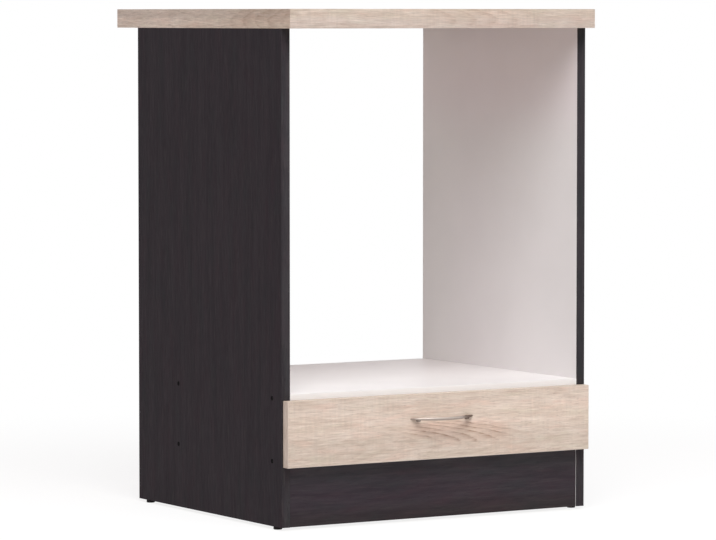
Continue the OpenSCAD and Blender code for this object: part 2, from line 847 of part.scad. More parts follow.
module cam_locks() {
    slot_w = cam_bolt_d / 2;
    color([0.72, 0.72, 0.74]) in_row_frame() on_both_sides() difference() {
        cam_space(0);
        at_cam_bolts() translate([0, 0, cam_reach - cam_d])
            cylinder(d = cam_bolt_d + 4 * fit_gap, h = cam_d + cam_bolt_d / 2 + hole_spare);
        block(
            [box_in_x - 1, front_back_y + cam_reach - cam_d / 3, cam_z - slot_w / 4],
            [box_in_x + slot_w / 2, front_back_y + cam_reach + cam_d / 3, cam_z + slot_w / 4]
        );
    }
}

module cam_bolts() {
    neck_d = cam_bolt_d / 2;
    head_l = cam_bolt_d / 2;
    color([0.75, 0.72, 0.62]) in_row_frame() on_both_sides() at_cam_bolts() {
        translate([0, 0, -cam_bolt_in]) cylinder(d = cam_bolt_d, h = cam_bolt_in);
        cylinder(d = neck_d, h = cam_reach);
        translate([0, 0, cam_reach - head_l / 2]) cylinder(d = cam_bolt_d, h = head_l);
        cylinder(d = cam_bolt_d, h = cam_reach - cam_d / 2 - hole_spare);
    }
}

module drawer_dowels() {
    color([0.85, 0.72, 0.52]) in_row_frame() on_both_sides() at_drawer_dowels() dowel();
}

module drawer_back_screws() {
    color([0.75, 0.75, 0.77]) in_row_frame() on_both_sides() at_drawer_back_screws() joint_screw();
}

// The handle: a ring of a rounded bar, cut off at the drawer front, on two round posts
module at_handle_screws() {
    for (x = [-handle_pitch / 2, handle_pitch / 2])
        translate([x, front_back_y, handle_z]) rotate([90, 0, 0]) children();
}

module bar_profile() {
    flat_w = handle_bar_t - 2 * handle_edge_r;
    flat_h = handle_bar_h - 2 * handle_edge_r;
    square([handle_bar_t, flat_h], center = true);
    square([flat_w, handle_bar_h], center = true);
    for (x = [-flat_w / 2, flat_w / 2], y = [-flat_h / 2, flat_h / 2])
        translate([x, y]) circle(r = handle_edge_r);
}

module drawer_handle() {
    mid_r = handle_r - handle_bar_t / 2;
    post_rise = handle_r - sqrt(pow(mid_r, 2) - pow(handle_pitch / 2, 2));
    post_l = handle_reach - post_rise;
    color([0.76, 0.75, 0.73]) in_row_frame() difference() {
        intersection() {
            union() {
                translate([0, handle_centre_y, handle_z]) rotate_extrude()
                    translate([mid_r, 0]) bar_profile();
                at_handle_screws() translate([0, 0, board_t]) cylinder(d = handle_post_d, h = post_l);
            }
            block(
                [-handle_l, front_face_y - 2 * handle_reach, handle_z - handle_l],
                [handle_l, front_face_y, handle_z + handle_l]
            );
        }
        at_handle_screws()
            cylinder(d = handle_screw_d + fit_gap, h = board_t + handle_thread_l + hole_spare);
    }
}

module handle_screws() {
    socket_d = handle_head_d / 2;
    color([0.72, 0.72, 0.74]) in_row_frame() at_handle_screws() difference() {
        union() {
            translate([0, 0, -handle_head_h]) cylinder(d = handle_head_d, h = handle_head_h);
            cylinder(d = handle_screw_d, h = board_t + handle_thread_l);
        }
        translate([0, 0, -handle_head_h - 1]) cylinder(d = socket_d, h = 1 + handle_head_h / 2, $fn = 4);
    }
}

// Bumpers on the rear of the drawer front, where it meets the side panels' front edges
module drawer_bumpers() {
    color([0.85, 0.85, 0.83]) in_row_frame() on_both_sides()
        for (z = [bottom_z + bumper_inset, front_top - bumper_inset])
            bar_y([side_x - board_t / 2, front_back_y, z], bumper_d, front_gap - fit_gap);
}

side_panel_left();
side_panel_right();
side_facing_left();
side_facing_right();
side_edge_band_left();
side_edge_band_right();
oven_shelf();
shelf_edge_band();
bottom_panel();
bottom_edge_band();
plinth_board();
plinth_blocks();
plinth_block_screws();
back_panel();
back_panel_nails();
worktop_core();
worktop_laminate();
worktop_front_band();
worktop_end_bands();
worktop_dowels();
shelf_dowels();
bottom_dowels();
joint_screws_left();
joint_screws_right();
screw_caps_left();
screw_caps_right();
glide_front_left();
glide_front_right();
glide_rear_left();
glide_rear_right();
glide_nails();
cabinet_runner_left();
cabinet_runner_right();
cabinet_runner_screws();
front_roller_axles();
front_roller_left();
front_roller_right();
drawer_front();
drawer_front_bands();
drawer_side_left();
drawer_side_right();
drawer_side_bands();
drawer_back();
drawer_bottom();
drawer_bottom_nails();
drawer_runner_left();
drawer_runner_right();
drawer_runner_screws();
rear_roller_axles();
rear_roller_left();
rear_roller_right();
cam_locks();
cam_bolts();
drawer_dowels();
drawer_back_screws();
drawer_handle();
handle_screws();
drawer_bumpers();
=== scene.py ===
from itertools import product
from math import pi, radians

import bmesh
import bpy
import numpy as np
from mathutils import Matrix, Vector


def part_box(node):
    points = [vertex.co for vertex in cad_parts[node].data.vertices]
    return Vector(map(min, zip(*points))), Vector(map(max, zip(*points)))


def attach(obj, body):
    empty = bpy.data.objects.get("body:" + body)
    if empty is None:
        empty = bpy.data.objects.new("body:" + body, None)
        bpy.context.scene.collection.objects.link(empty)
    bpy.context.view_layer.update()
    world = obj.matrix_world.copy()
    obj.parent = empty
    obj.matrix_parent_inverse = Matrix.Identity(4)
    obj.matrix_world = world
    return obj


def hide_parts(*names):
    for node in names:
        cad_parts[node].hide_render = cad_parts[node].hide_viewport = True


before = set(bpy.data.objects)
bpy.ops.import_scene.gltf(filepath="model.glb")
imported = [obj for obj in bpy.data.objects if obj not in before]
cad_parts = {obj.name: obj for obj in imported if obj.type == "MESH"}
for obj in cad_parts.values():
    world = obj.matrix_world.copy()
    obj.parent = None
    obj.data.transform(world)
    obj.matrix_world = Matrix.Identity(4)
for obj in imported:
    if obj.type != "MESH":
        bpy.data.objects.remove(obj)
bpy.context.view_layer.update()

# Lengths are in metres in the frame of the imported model: the front faces -Y and the floor is z = 0.
MM = 0.001
X, Y, Z = 0, 1, 2
SIDES = {"left": -1, "right": 1}
ENDS = ("front", "rear")
FORWARDS, BACKWARDS = (0, -1, 0), (0, 1, 0)
UPWARDS, DOWNWARDS = (0, 0, 1), (0, 0, -1)

# Camera: the photograph's standpoint, turn to the right and tilt down, and a lens in millimetres
CAMERA_PLACE = (-3.6726, -6.0713, 0.8457)
CAMERA_YAW = 0.54483
CAMERA_PITCH = 0.06179
CAMERA_LENS = 206.61
CAMERA_SENSOR = 36
CAMERA_FAR = 200

# Softened edges of boards, bands, laminates and blocks
BOARD_EDGE = 0.25 * MM
BAND_EDGE = 0.35 * MM
LAMINATE_EDGE = 0.12 * MM
BLOCK_EDGE = 0.6 * MM

# An edge is shaded sharp from the first angle and softened from the second. In a copied mesh, faces that
# meet at less than the third are one, and so are points that lie closer than the distance.
SHARP = radians(35)
SOFTENED = radians(60)
FLAT = radians(1)
MERGED = 0.005 * MM

# A face is raw where its normal's part along a raw direction is over the first, and its distance from the
# piece's end that way is under the second
RAW_NEAR = 0.8
RAW_REACH = 1 * MM

# Handle: a bow whose outer face touches the drawer front at its tips. The taper is the part of its height
# that is lost there, and the rounding is the power of its superellipse.
BAR_THICK = 4.5 * MM
BAR_HIGH = 5.0 * MM
BAR_HEIGHT = 174.4 * MM
BAR_HALF = 62.0 * MM
BAR_TAPER = 0.45
BAR_ROUNDING = 3.2
BAR_RINGS = 67
POST_RADIUS = 3.0 * MM
POST_FLANGE = 0.5 * MM
POST_FOOT = 0.8 * MM
POST_PLACE = 48 * MM

# Runners of folded sheet steel
STEEL = 1.2 * MM
BEND = 1.0 * MM
LIP_RISE = 3.7 * MM
UPPER_FLANGE = 8 * MM
FLANGE_CUT = 25 * MM
FOOT_FLANGE = 14 * MM

# Rollers: the groove's radius is that of its middle
ROLLER_RADIUS = 8.5 * MM
ROLLER_WIDE = 6 * MM
ROLLER_BORE = 2.55 * MM
ROLLER_GROOVE = 5.6 * MM
ROLLER_RIM = 0.7 * MM
ROLLER_CROWN = 0.1 * MM

# Screws as head height, shank radius and shank length
HANDLE_SCREW = (2.6 * MM, 2 * MM, 24 * MM)
RUNNER_SCREW = (0.7 * MM, 1.75 * MM, 13 * MM)
HANDLE_SCREW_HEAD = 4 * MM

# Nails of the rear sheet, and the pitch of the wires whose print its rear face has
NAIL_HEAD = 2 * MM
NAIL_RISE = 0.7 * MM
WIRE_PITCH = 1.6 * MM

# Screw caps: the first is the radius of the place that holds one
CAP_PLACE = 4 * MM
CAP_RADIUS = 3.9 * MM
CAP_ROUND = 0.25 * MM

# Glides, bumpers and cam locks
GLIDE_ROUND = 1.1 * MM
GLIDE_WAIST = 0.35 * MM
BUMPER_RADIUS = 4 * MM
CAM_RISE = 0.3 * MM

# The oak's arches: their sideways way along the grain, and the oval in which they show, with the scale
# of its length, the half widths over which they fade and a middle that no board has
ARCH_SLOPE = 0.125
FIGURE_STRETCH = 0.17
FIGURE_INNER = 0.012
FIGURE_OUTER = 0.023
NO_FIGURE = (9, 9, 9)

# Floor: its half width, how far it lies under the feet, its shades to the lamps and to the camera, its
# glow, and the distances over which it turns to glow alone
FLOOR_HALF = 20.0
FLOOR_DROP = 0.2 * MM
FLOOR_LIT = 0.8
FLOOR_SHOWN = 0.22
FLOOR_GLOW = 0.83
FLOOR_FADE = (0.9, 1.8)

# World: its light from the front as a share of that from behind, and the tint of the latter
WORLD_FRONT = 0.15
WORLD_TINT = (0.88, 0.725, 0.735, 1)

# Lamps: name, place and power, with one aim and size for all
LAMPS = (("key", (-1.59, -2.76, 3.58), 89), ("high", (-0.39, -2.22, 4.30), 119))
LAMP_AIM = (0, 0, 0.4)
LAMP_SIZE = 3.2


def add_camera():
    data = bpy.data.cameras.new("camera")
    data.lens = CAMERA_LENS
    data.sensor_width = CAMERA_SENSOR
    data.clip_end = CAMERA_FAR
    camera = bpy.data.objects.new("camera", data)
    camera.location = CAMERA_PLACE
    camera.rotation_euler = (pi / 2 - CAMERA_PITCH, 0, -CAMERA_YAW)
    bpy.context.scene.collection.objects.link(camera)
    bpy.context.scene.camera = camera


# Places in the frame
def box(node):
    """A node's lowest and highest corner."""
    return [np.array(corner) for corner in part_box(node)]


def middle(node):
    return sum(box(node)) / 2


def size(node):
    low, high = box(node)
    return high - low


def spaced(node, axis, inset, count=2):
    """Evenly spaced places along an axis, the first and the last an inset inside the node's box."""
    low, high = box(node)
    return np.linspace(low[axis] + inset, high[axis] - inset, count)


def side_reach(node):
    """How far the nearest and the farthest point of one side's node are from the middle plane."""
    return sorted(abs(corner[X]) for corner in box(node))


def millimetres(*points):
    return [(across * MM, up * MM) for across, up in points]


# Shapes
class Shape:
    """Points, faces by point number, and for each face whether it is smooth."""

    def __init__(self, points, faces, smooth):
        self.points = np.asarray(points, float).reshape(-1, 3)
        self.faces = [tuple(face) for face in faces]
        self.smooth = np.asarray(smooth, bool).tolist()
        if self.volume() < 0:
            self.faces = [face[::-1] for face in self.faces]

    def volume(self):
        """The sum of the tetrahedra from the origin to each face's fan of triangles."""
        fans = [(f[0], f[i], f[i + 1]) for f in self.faces for i in range(1, len(f) - 1)]
        a, b, c = (self.points[list(corner)] for corner in zip(*fans))
        return float(np.einsum("ij,ij->i", a, np.cross(b, c)).sum() / 6)


def joined(shapes):
    """One shape of several closed ones."""
    starts = np.cumsum([0] + [len(shape.points) for shape in shapes[:-1]])
    faces = [tuple(i + start for i in face) for shape, start in zip(shapes, starts)
             for face in shape.faces]
    smooth = [flag for shape in shapes for flag in shape.smooth]
    return Shape(np.concatenate([shape.points for shape in shapes]), faces, smooth)


def grid_quads(rows, columns, ring=False):
    """Quads of a grid numbered row by row, whose rows are closed loops. With ring, the last row meets
    the first."""
    row = np.arange(rows if ring else rows - 1)[:, None]
    column = np.arange(columns)[None, :]
    after, beside = (row + 1) % rows, (column + 1) % columns
    corners = [first * columns + second
               for first, second in ((row, column), (row, beside), (after, beside), (after, column))]
    return np.stack(np.broadcast_arrays(*corners), -1).reshape(-1, 4).tolist()


def end_faces(rows, columns):
    """The two many-sided faces that close a grid's first and last row."""
    first = list(range(columns))
    last = list(range((rows - 1) * columns, rows * columns))
    return [first[::-1], last]


def towards(points, axis, sign=1):
    """Turns points drawn along +Z so that they run along that axis with that sign."""
    return np.roll(points * np.array([1, sign, sign]), axis + 1, axis=-1)


def slab(low, high, edge, steps=3):
    """A board with softened edges. Its outline is a rectangle with quarter circles of radius 1.3 edge
    for corners. It is carried through the thinnest direction, and draws in at both faces along a quarter
    circle of radius edge."""
    low, high = np.array(low, float), np.array(high, float)
    thin = int(np.argmin(high - low))
    order = [(thin + 1) % 3, (thin + 2) % 3, thin]
    half = ((high - low) / 2)[order]
    turn = np.linspace(0, pi / 2, steps + 1)
    draw = edge * (1 - np.sin(turn))
    rise = edge * (1 - np.cos(turn)) - half[2]
    draw, rise = np.concatenate([draw, draw[::-1]]), np.concatenate([rise, -rise[::-1]])
    corner = 1.3 * edge
    angle = (np.arange(4)[:, None] * pi / 2 + turn[None, :]).ravel()
    centre = np.repeat([(1, 1), (-1, 1), (-1, -1), (1, -1)], steps + 1, axis=0) * (half[:2] - corner)
    radius = (corner - draw)[:, None]
    flat = np.stack([centre[:, 0] + radius * np.cos(angle), centre[:, 1] + radius * np.sin(angle)], -1)
    local = np.concatenate([flat, np.broadcast_to(rise[:, None, None], flat.shape[:2] + (1,))], -1)
    points = np.empty_like(local)
    points[..., order] = local + ((low + high) / 2)[order]
    rows, columns = local.shape[:2]
    row, column = np.indices((rows - 1, columns))
    smooth = (row != steps) | (column % (steps + 1) != steps)
    faces = grid_quads(rows, columns) + end_faces(rows, columns)
    return Shape(points, faces, [*smooth.ravel(), False, False])


def end_slabs(low, high, axis, thick):
    """The two boards of that thickness at a box's two ends along an axis."""
    low_end, high_end = high.copy(), low.copy()
    low_end[axis] = low[axis] + thick
    high_end[axis] = high[axis] - thick
    return [slab(low, low_end, BAND_EDGE), slab(high_end, high, BAND_EDGE)]


def closed(points, ring=False):
    """A smooth shape of a grid of points whose rows are closed loops, with a flat face over its first and
    its last row. With ring, the last row meets the first instead."""
    rows, columns = points.shape[:2]
    faces = grid_quads(rows, columns, ring)
    smooth = [True] * len(faces)
    if not ring:
        faces += end_faces(rows, columns)
        smooth += [False, False]
    return Shape(points, faces, smooth)


def circle(steps):
    return np.linspace(0, 2 * pi, steps, endpoint=False)


def revolved(profile, angle):
    """Points (radius cos angle, radius sin angle, height) for each (radius, height) of the profile."""
    radius, height = np.array(profile, float).T[:, :, None]
    return np.stack([radius * np.cos(angle), radius * np.sin(angle), height + 0 * angle], -1)


def turned(profile, axis, sign, place, steps=48, bore=False):
    """A profile of (radius, height) points, turned about an axis. With bore, the profile closes on
    itself."""
    points = revolved(profile, circle(steps))
    return closed(towards(points, axis, sign) + np.array(place), ring=bore)


def arc(radius, height, reach, start, end, steps=4):
    """Profile points at that reach from (radius, height), from one angle in degrees to another."""
    angle = np.radians(np.linspace(start, end, steps + 1))
    return list(zip(radius + reach * np.cos(angle), height + reach * np.sin(angle)))


def swept(section, spine, across, up):
    """A closed section of (across, up) points carried along a spine. across and up give, for each spine
    point, the directions of the section's two axes."""
    section = np.asarray(section, float)
    points = (spine[:, None, :] + section[None, :, :1] * across[:, None, :]
              + section[None, :, 1:] * up[:, None, :])
    return closed(points)


def folded_sheet(corners, y0, y1, side, steps=4):
    """A steel sheet folded along a polyline of (x, z) corners, drawn for the right side and mirrored for
    the left, and straight from y0 to y1. Each fold's middle line is an arc of radius BEND, and the two
    faces lie half a thickness to either side of the middle line."""
    corners = np.array(corners, float)
    legs = np.diff(corners, axis=0)
    legs /= np.linalg.norm(legs, axis=1)[:, None]
    sideways = np.stack([-legs[:, 1], legs[:, 0]], -1)
    turn = np.linspace(0, pi / 2, steps + 1)[:, None]
    line, normal = [corners[:1]], [sideways[:1]]
    for corner, before, after, left, right in zip(corners[1:-1], legs, legs[1:], sideways, sideways[1:]):
        blend = left * np.cos(turn) + right * np.sin(turn)
        inner = np.sign(before[0] * after[1] - before[1] * after[0])
        line.append(corner + BEND * (after - before) - inner * BEND * blend)
        normal.append(blend)
    line = np.concatenate(line + [corners[-1:]])
    normal = np.concatenate(normal + [sideways[-1:]])
    section = np.concatenate([line + normal * STEEL / 2, (line - normal * STEEL / 2)[::-1]])
    spine = np.array([[0, y0, 0], [0, y1, 0]])
    across, up = np.array([[[side, 0, 0]] * 2, [[0, 0, 1]] * 2], float)
    return swept(section, spine, across, up)


def cross_head(radius, rise, shank_radius, shank, axis, sign, place, steps=48):
    """A screw with a domed head and a cross recess. The head's height falls from rise as an ellipse, less
    a recess wherever one of the two coordinates is within a tenth of the head's width and the other
    within three tenths. The head's underside is at the place and the shank runs the other way."""
    reach = np.linspace(0.02, 1, 15)[::-1, None] * radius
    angle = circle(steps)
    x, y = reach * np.cos(angle), reach * np.sin(angle)
    near, far = np.minimum(abs(x), abs(y)), np.maximum(abs(x), abs(y))
    cut = np.clip((0.2 * radius - near) / (0.08 * radius), 0, 1)
    cut = cut * np.clip((0.6 * radius - far) / (0.1 * radius), 0, 1)
    dome = rise * (0.35 + 0.65 * np.sqrt(1 - (reach / radius * 0.98) ** 2)) - cut * rise * 0.6
    stem = [(shank_radius * 0.3, -shank), (shank_radius, -shank + 2 * shank_radius), (shank_radius, 0),
            (radius, 0)]
    points = np.concatenate([revolved(stem, angle), np.stack([x, y, dome], -1)])
    return closed(towards(points, axis, sign) + np.array(place))


def superellipse(wide, tall, power, steps=40):
    """A closed outline on which |x/wide|^power + |y/tall|^power = 1, with wide and tall as half sizes."""
    cosine, sine = np.cos(circle(steps)), np.sin(circle(steps))
    return np.stack([
        wide * np.sign(cosine) * abs(cosine) ** (2 / power),
        tall * np.sign(sine) * abs(sine) ** (2 / power),
    ], -1)


# Pieces
def add_piece(name, shape, materials, body, node, raw=(), near=RAW_NEAR):
    """Makes an object of the shape, which rides on the body and stands for the node. Faces that end the
    piece in one of the raw directions take the second material."""
    mesh = bpy.data.meshes.new(name)
    mesh.from_pydata(shape.points.tolist(), [], shape.faces)
    for material in materials:
        mesh.materials.append(material)
    mesh.polygons.foreach_set("use_smooth", shape.smooth)
    if raw:
        normals, centres = np.empty((2, len(mesh.polygons) * 3))
        mesh.polygons.foreach_get("normal", normals)
        mesh.polygons.foreach_get("center", centres)
        directions = np.array(raw, float).T
        along, reach = normals.reshape(-1, 3) @ directions, centres.reshape(-1, 3) @ directions
        last = (along > near) & (reach > reach.max(axis=0) - RAW_REACH)
        mesh.polygons.foreach_set("material_index", last.any(axis=1).astype(int))
    mesh.set_sharp_from_angle(angle=SHARP)
    piece = bpy.data.objects.new(name, mesh)
    bpy.context.scene.collection.objects.link(piece)
    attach(piece, body)
    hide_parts(node)
    return piece


def add_softened(name, node, materials, body, raw=(), edge=BOARD_EDGE):
    """A copy of a node's mesh, merged and with its edges rounded, so that its true holes and grooves
    stay."""
    solid = bmesh.new()
    solid.from_mesh(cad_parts[node].data)
    bmesh.ops.remove_doubles(solid, verts=solid.verts, dist=MERGED)
    bmesh.ops.dissolve_limit(solid, angle_limit=FLAT, verts=solid.verts, edges=solid.edges)
    solid.verts.index_update()
    points = [corner.co[:] for corner in solid.verts]
    faces = [[corner.index for corner in face.verts] for face in solid.faces]
    solid.free()
    shape = Shape(points, faces, [False] * len(faces))
    piece = add_piece(name, shape, materials, body, node, raw)
    bevel = piece.modifiers.new("softened edges", "BEVEL")
    bevel.width = edge
    bevel.segments = 2
    bevel.limit_method = "ANGLE"
    bevel.angle_limit = SOFTENED


def add_slab(name, node, material):
    """A fixed band or skin that fills its node's box."""
    add_piece(name, slab(*box(node), BAND_EDGE), [material], "carcass", node)


def dress(material, *nodes):
    """Gives the material to nodes whose own shape is right."""
    for node in nodes:
        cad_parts[node].data.materials.clear()
        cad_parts[node].data.materials.append(material)


# Shader trees
def srgb(red, green, blue):
    """A colour as a screen shows it, from 0 to 255, as the linear colour that shaders take."""
    shown = np.array([red, green, blue]) / 255
    linear = np.where(shown <= 0.04045, shown / 12.92, ((shown + 0.055) / 1.055) ** 2.4)
    return (*linear.tolist(), 1.0)


class Graph:
    """A node tree with short calls. A value is a number, a colour or another node's output."""

    def __init__(self, tree):
        self.tree = tree

    def feed(self, socket, value):
        if isinstance(value, bpy.types.NodeSocket):
            self.tree.links.new(value, socket)
        else:
            socket.default_value = value

    def feed_all(self, sockets, **values):
        for name, value in values.items():
            self.feed(sockets[name.replace("_", " ")], value)

    def node(self, kind, *values, options=(), **named_values):
        made = self.tree.nodes.new("ShaderNode" + kind)
        for option, choice in dict(options).items():
            setattr(made, option, choice)
        for socket, value in zip(made.inputs, values):
            self.feed(socket, value)
        self.feed_all(made.inputs, **named_values)
        return made

    def group(self, tree, **values):
        return self.node("Group", options={"node_tree": tree}, **values).outputs

    def math(self, operation, *values):
        return self.node("Math", *values, options={"operation": operation}).outputs[0]

    def vector(self, operation, *values, **named_values):
        made = self.node("VectorMath", *values, options={"operation": operation}, **named_values)
        return made.outputs["Value" if operation in ("LENGTH", "DOT_PRODUCT") else "Vector"]

    def split(self, place):
        return self.node("SeparateXYZ", place).outputs

    def combined(self, x, y, z):
        return self.node("CombineXYZ", x, y, z).outputs[0]

    def step(self, value, low, high, start=0.0, end=1.0):
        """value from low to high gives start to end, easing in and out."""
        options = {"interpolation_type": "SMOOTHSTEP"}
        return self.node("MapRange", value, low, high, start, end, options=options).outputs[0]

    def noise(self, place, scale=1.0, detail=2.0, roughness=0.5, output="Fac"):
        made = self.node("TexNoise", Vector=place, Scale=scale, Detail=detail, Roughness=roughness)
        return made.outputs[output]

    def stretched(self, place, along, across):
        """Noise drawn out along X: along and across are its fineness per metre in the two directions."""
        return self.noise(self.vector("MULTIPLY", place, (along, across, across)), detail=3)

    def blend(self, factor, first, second, way="MIX"):
        made = self.node("Mix", factor, options={"data_type": "RGBA", "blend_type": way})
        self.feed(made.inputs[6], first)
        self.feed(made.inputs[7], second)
        return made.outputs[2]

    def traded(self, mask, first, second):
        """Two colours that trade places as a noise mask goes through its middle range."""
        return self.blend(self.step(mask, 0.3, 0.7), first, second)

    def drawn(self, colour, mask, amount, other):
        """The colour, mixed with the other by amount times the mask."""
        return self.blend(self.math("MULTIPLY", mask, amount), colour, other)

    def washed(self, colour, mask, low, high, amount, other):
        """The colour, mixed with the other by up to amount as the mask goes from low to high."""
        return self.blend(self.step(mask, low, high, 0.0, amount), colour, other)

    def light_and_look(self, light, look, output):
        """Gives the output the first shader as a light, and the second to the camera, in reflections and
        through clear plastic."""
        path = self.node("LightPath").outputs
        seen = self.math("MAXIMUM", path["Is Camera Ray"], path["Is Glossy Ray"])
        seen = self.math("MAXIMUM", seen, path["Is Transmission Ray"])
        self.node(output, self.node("MixShader", seen, light, look).outputs[0])


def new_group(name, inputs, outputs):
    """An empty node group with its sockets, as (tree, graph, what it is given, what it gives)."""
    tree = bpy.data.node_groups.new(name, "ShaderNodeTree")
    for way, sockets in (("INPUT", inputs), ("OUTPUT", outputs)):
        for kind, labels in sockets.items():
            for label in labels:
                tree.interface.new_socket(name=label, in_out=way, socket_type="NodeSocket" + kind)
    given, gives = tree.nodes.new("NodeGroupInput").outputs, tree.nodes.new("NodeGroupOutput").inputs
    return tree, Graph(tree), given, gives


def timber_group():
    """Timber cut along X. A growth ring is where the distance from the heart's line along X, plus an
    eighth of X, passes a whole number of ring widths, so that the rings of a board near the heart close
    in long pointed arches. Each ring darkens slowly outwards and ends sharply. Bands, streaks, fibres and
    pores are noise drawn out along X, each finer than the last, and saw marks are fine lines across it.
    Figure is 1 inside a long oval round Figure Place, which leans half as much as the arches."""
    tree, graph, given, gives = new_group(
        "timber grain",
        {"Vector": ("Place", "Heart", "Figure Place"), "Float": ("Ring Width", "Wander")},
        {"Float": ("Rings", "Figure", "Bands", "Streaks", "Fibres", "Pores", "Saw Marks", "Tint")},
    )
    place = given["Place"]
    drift = graph.noise(graph.vector("MULTIPLY", place, (7, 26, 26)), detail=3, output="Color")
    drift = graph.vector("SUBTRACT", drift, (0.5, 0.5, 0.5))
    sideways = graph.combined(0.0, given["Wander"], given["Wander"])
    bent = graph.vector("ADD", place, graph.vector("MULTIPLY", drift, sideways))
    from_heart = graph.vector("SUBTRACT", bent, given["Heart"])
    distance = graph.vector("LENGTH", graph.vector("MULTIPLY", from_heart, (0, 1, 1)))
    distance = graph.math("MULTIPLY_ADD", graph.split(from_heart)[X], ARCH_SLOPE, distance)
    streaks = graph.stretched(bent, 24, 330)
    turns = graph.math("MULTIPLY_ADD", streaks, 0.6, graph.math("DIVIDE", distance, given["Ring Width"]))
    phase = graph.math("FRACT", turns)
    late = graph.math("MULTIPLY", graph.math("POWER", phase, 2.5), graph.step(phase, 0.86, 1.0, 1.0, 0.0))
    broken = graph.step(graph.stretched(bent, 40, 380), 0.32, 0.62, 0.3, 1.7)
    oval = graph.vector("SUBTRACT", bent, given["Figure Place"])
    lean = graph.math("MULTIPLY", graph.split(oval)[X], ARCH_SLOPE / 2)
    oval = graph.vector("ADD", oval, graph.combined(0.0, 0.0, lean))
    away = graph.vector("LENGTH", graph.vector("MULTIPLY", oval, (FIGURE_STRETCH, 1, 1)))
    across = graph.noise(graph.vector("MULTIPLY", place, (230, 24, 24)), detail=2)
    sawn = graph.step(graph.noise(place, 14, detail=1), 0.40, 0.60, 0.25, 1.0)
    patches = graph.vector("MULTIPLY", bent, (14, 52, 52))
    graph.feed_all(
        gives,
        Rings=graph.math("MULTIPLY", late, broken),
        Figure=graph.step(away, FIGURE_INNER, FIGURE_OUTER, 1.0, 0.0),
        Bands=graph.stretched(bent, 7, 95),
        Streaks=streaks,
        Fibres=graph.stretched(bent, 50, 900),
        Pores=graph.step(graph.stretched(bent, 100, 1500), 0.60, 0.70),
        Saw_Marks=graph.math("MULTIPLY", graph.math("SUBTRACT", across, 0.5), sawn),
        Tint=graph.noise(patches, detail=2, roughness=0.6),
    )
    return tree


def surface_group():
    """What a made surface is never without: Cloud, a soft unevenness over centimetres, Grit, a fine even
    grain, and Hairlines, faint long rub marks along X."""
    tree, graph, given, gives = new_group(
        "surface play",
        {"Vector": ["Place"], "Float": ("Cloud Size", "Grit Size")},
        {"Float": ("Cloud", "Grit", "Hairlines")},
    )
    place = given["Place"]
    lines = graph.noise(graph.vector("MULTIPLY", place, (45, 2600, 2600)), detail=2)
    graph.feed_all(
        gives,
        Cloud=graph.noise(place, graph.math("DIVIDE", 1.0, given["Cloud Size"]), detail=3),
        Grit=graph.noise(place, graph.math("DIVIDE", 1.0, given["Grit Size"]), detail=2),
        Hairlines=graph.step(lines, 0.35, 0.75),
    )
    return tree


def tone_group():
    """A colour that takes on a gain as the place moves along a direction from one length to another."""
    tree, graph, given, gives = new_group(
        "tone",
        {"Color": ("Colour", "Gain"), "Vector": ("Place", "Along"), "Float": ("From", "To")},
        {"Color": ["Colour"]},
    )
    way = graph.vector("DOT_PRODUCT", given["Place"], given["Along"])
    gain = graph.blend(graph.step(way, given["From"], given["To"]), (1, 1, 1, 1), given["Gain"])
    graph.feed_all(gives, Colour=graph.blend(1.0, given["Colour"], gain, "MULTIPLY"))
    return tree


TIMBER = timber_group()
SURFACE = surface_group()
TONE = tone_group()

# Turns of a pattern whose grain is drawn along X
ALONG_X = (0, 0, 0)
ALONG_Y = (0, 0, -pi / 2)
ALONG_Z = (0, pi / 2, 0)

# A tone's way that lies below every piece, so that the whole piece has the gain
EVERYWHERE = (Z, -1.0, 0.0)


class Finish(Graph):
    """A material in the making, with its shader's sockets and the place on the object."""

    def __init__(self, name, **values):
        self.material = bpy.data.materials.new(name)
        self.material.use_nodes = True
        super().__init__(self.material.node_tree)
        self.shader = self.tree.nodes["Principled BSDF"].inputs
        self.feed_all(self.shader, **values)
        self.place = self.node("TexCoord").outputs["Object"]

    def timber(self, grain, heart, ring_width, wander, marked=NO_FIGURE):
        """The masks of a board whose grain runs that way."""
        place = self.node("Mapping", Vector=self.place, Rotation=grain).outputs[0]
        return self.group(TIMBER, Place=place, Heart=heart, Figure_Place=marked, Ring_Width=ring_width,
                          Wander=wander)

    def surface(self, cloud, grit):
        """The masks of a made surface with clouds and grit of those sizes."""
        return self.group(SURFACE, Place=self.place, Cloud_Size=cloud, Grit_Size=grit)

    def toned(self, colour, tones):
        """The colour after its tones, each of which is (axis, from, to, gain)."""
        for axis, start, end, gain in tones:
            colour = self.group(TONE, Colour=colour, Gain=(*gain, 1), Place=self.place,
                                Along=np.eye(3)[axis].tolist(), From=start, To=end)["Colour"]
        return colour

    def done(self, colour, height, depth, strength, **values):
        """The material, once its shader has the colour, the relief of a height mask and other values."""
        normal = self.node("Bump", Height=height, Distance=depth, Strength=strength).outputs[0]
        self.feed_all(self.shader, Base_Color=colour, Normal=normal, **values)
        return self.material


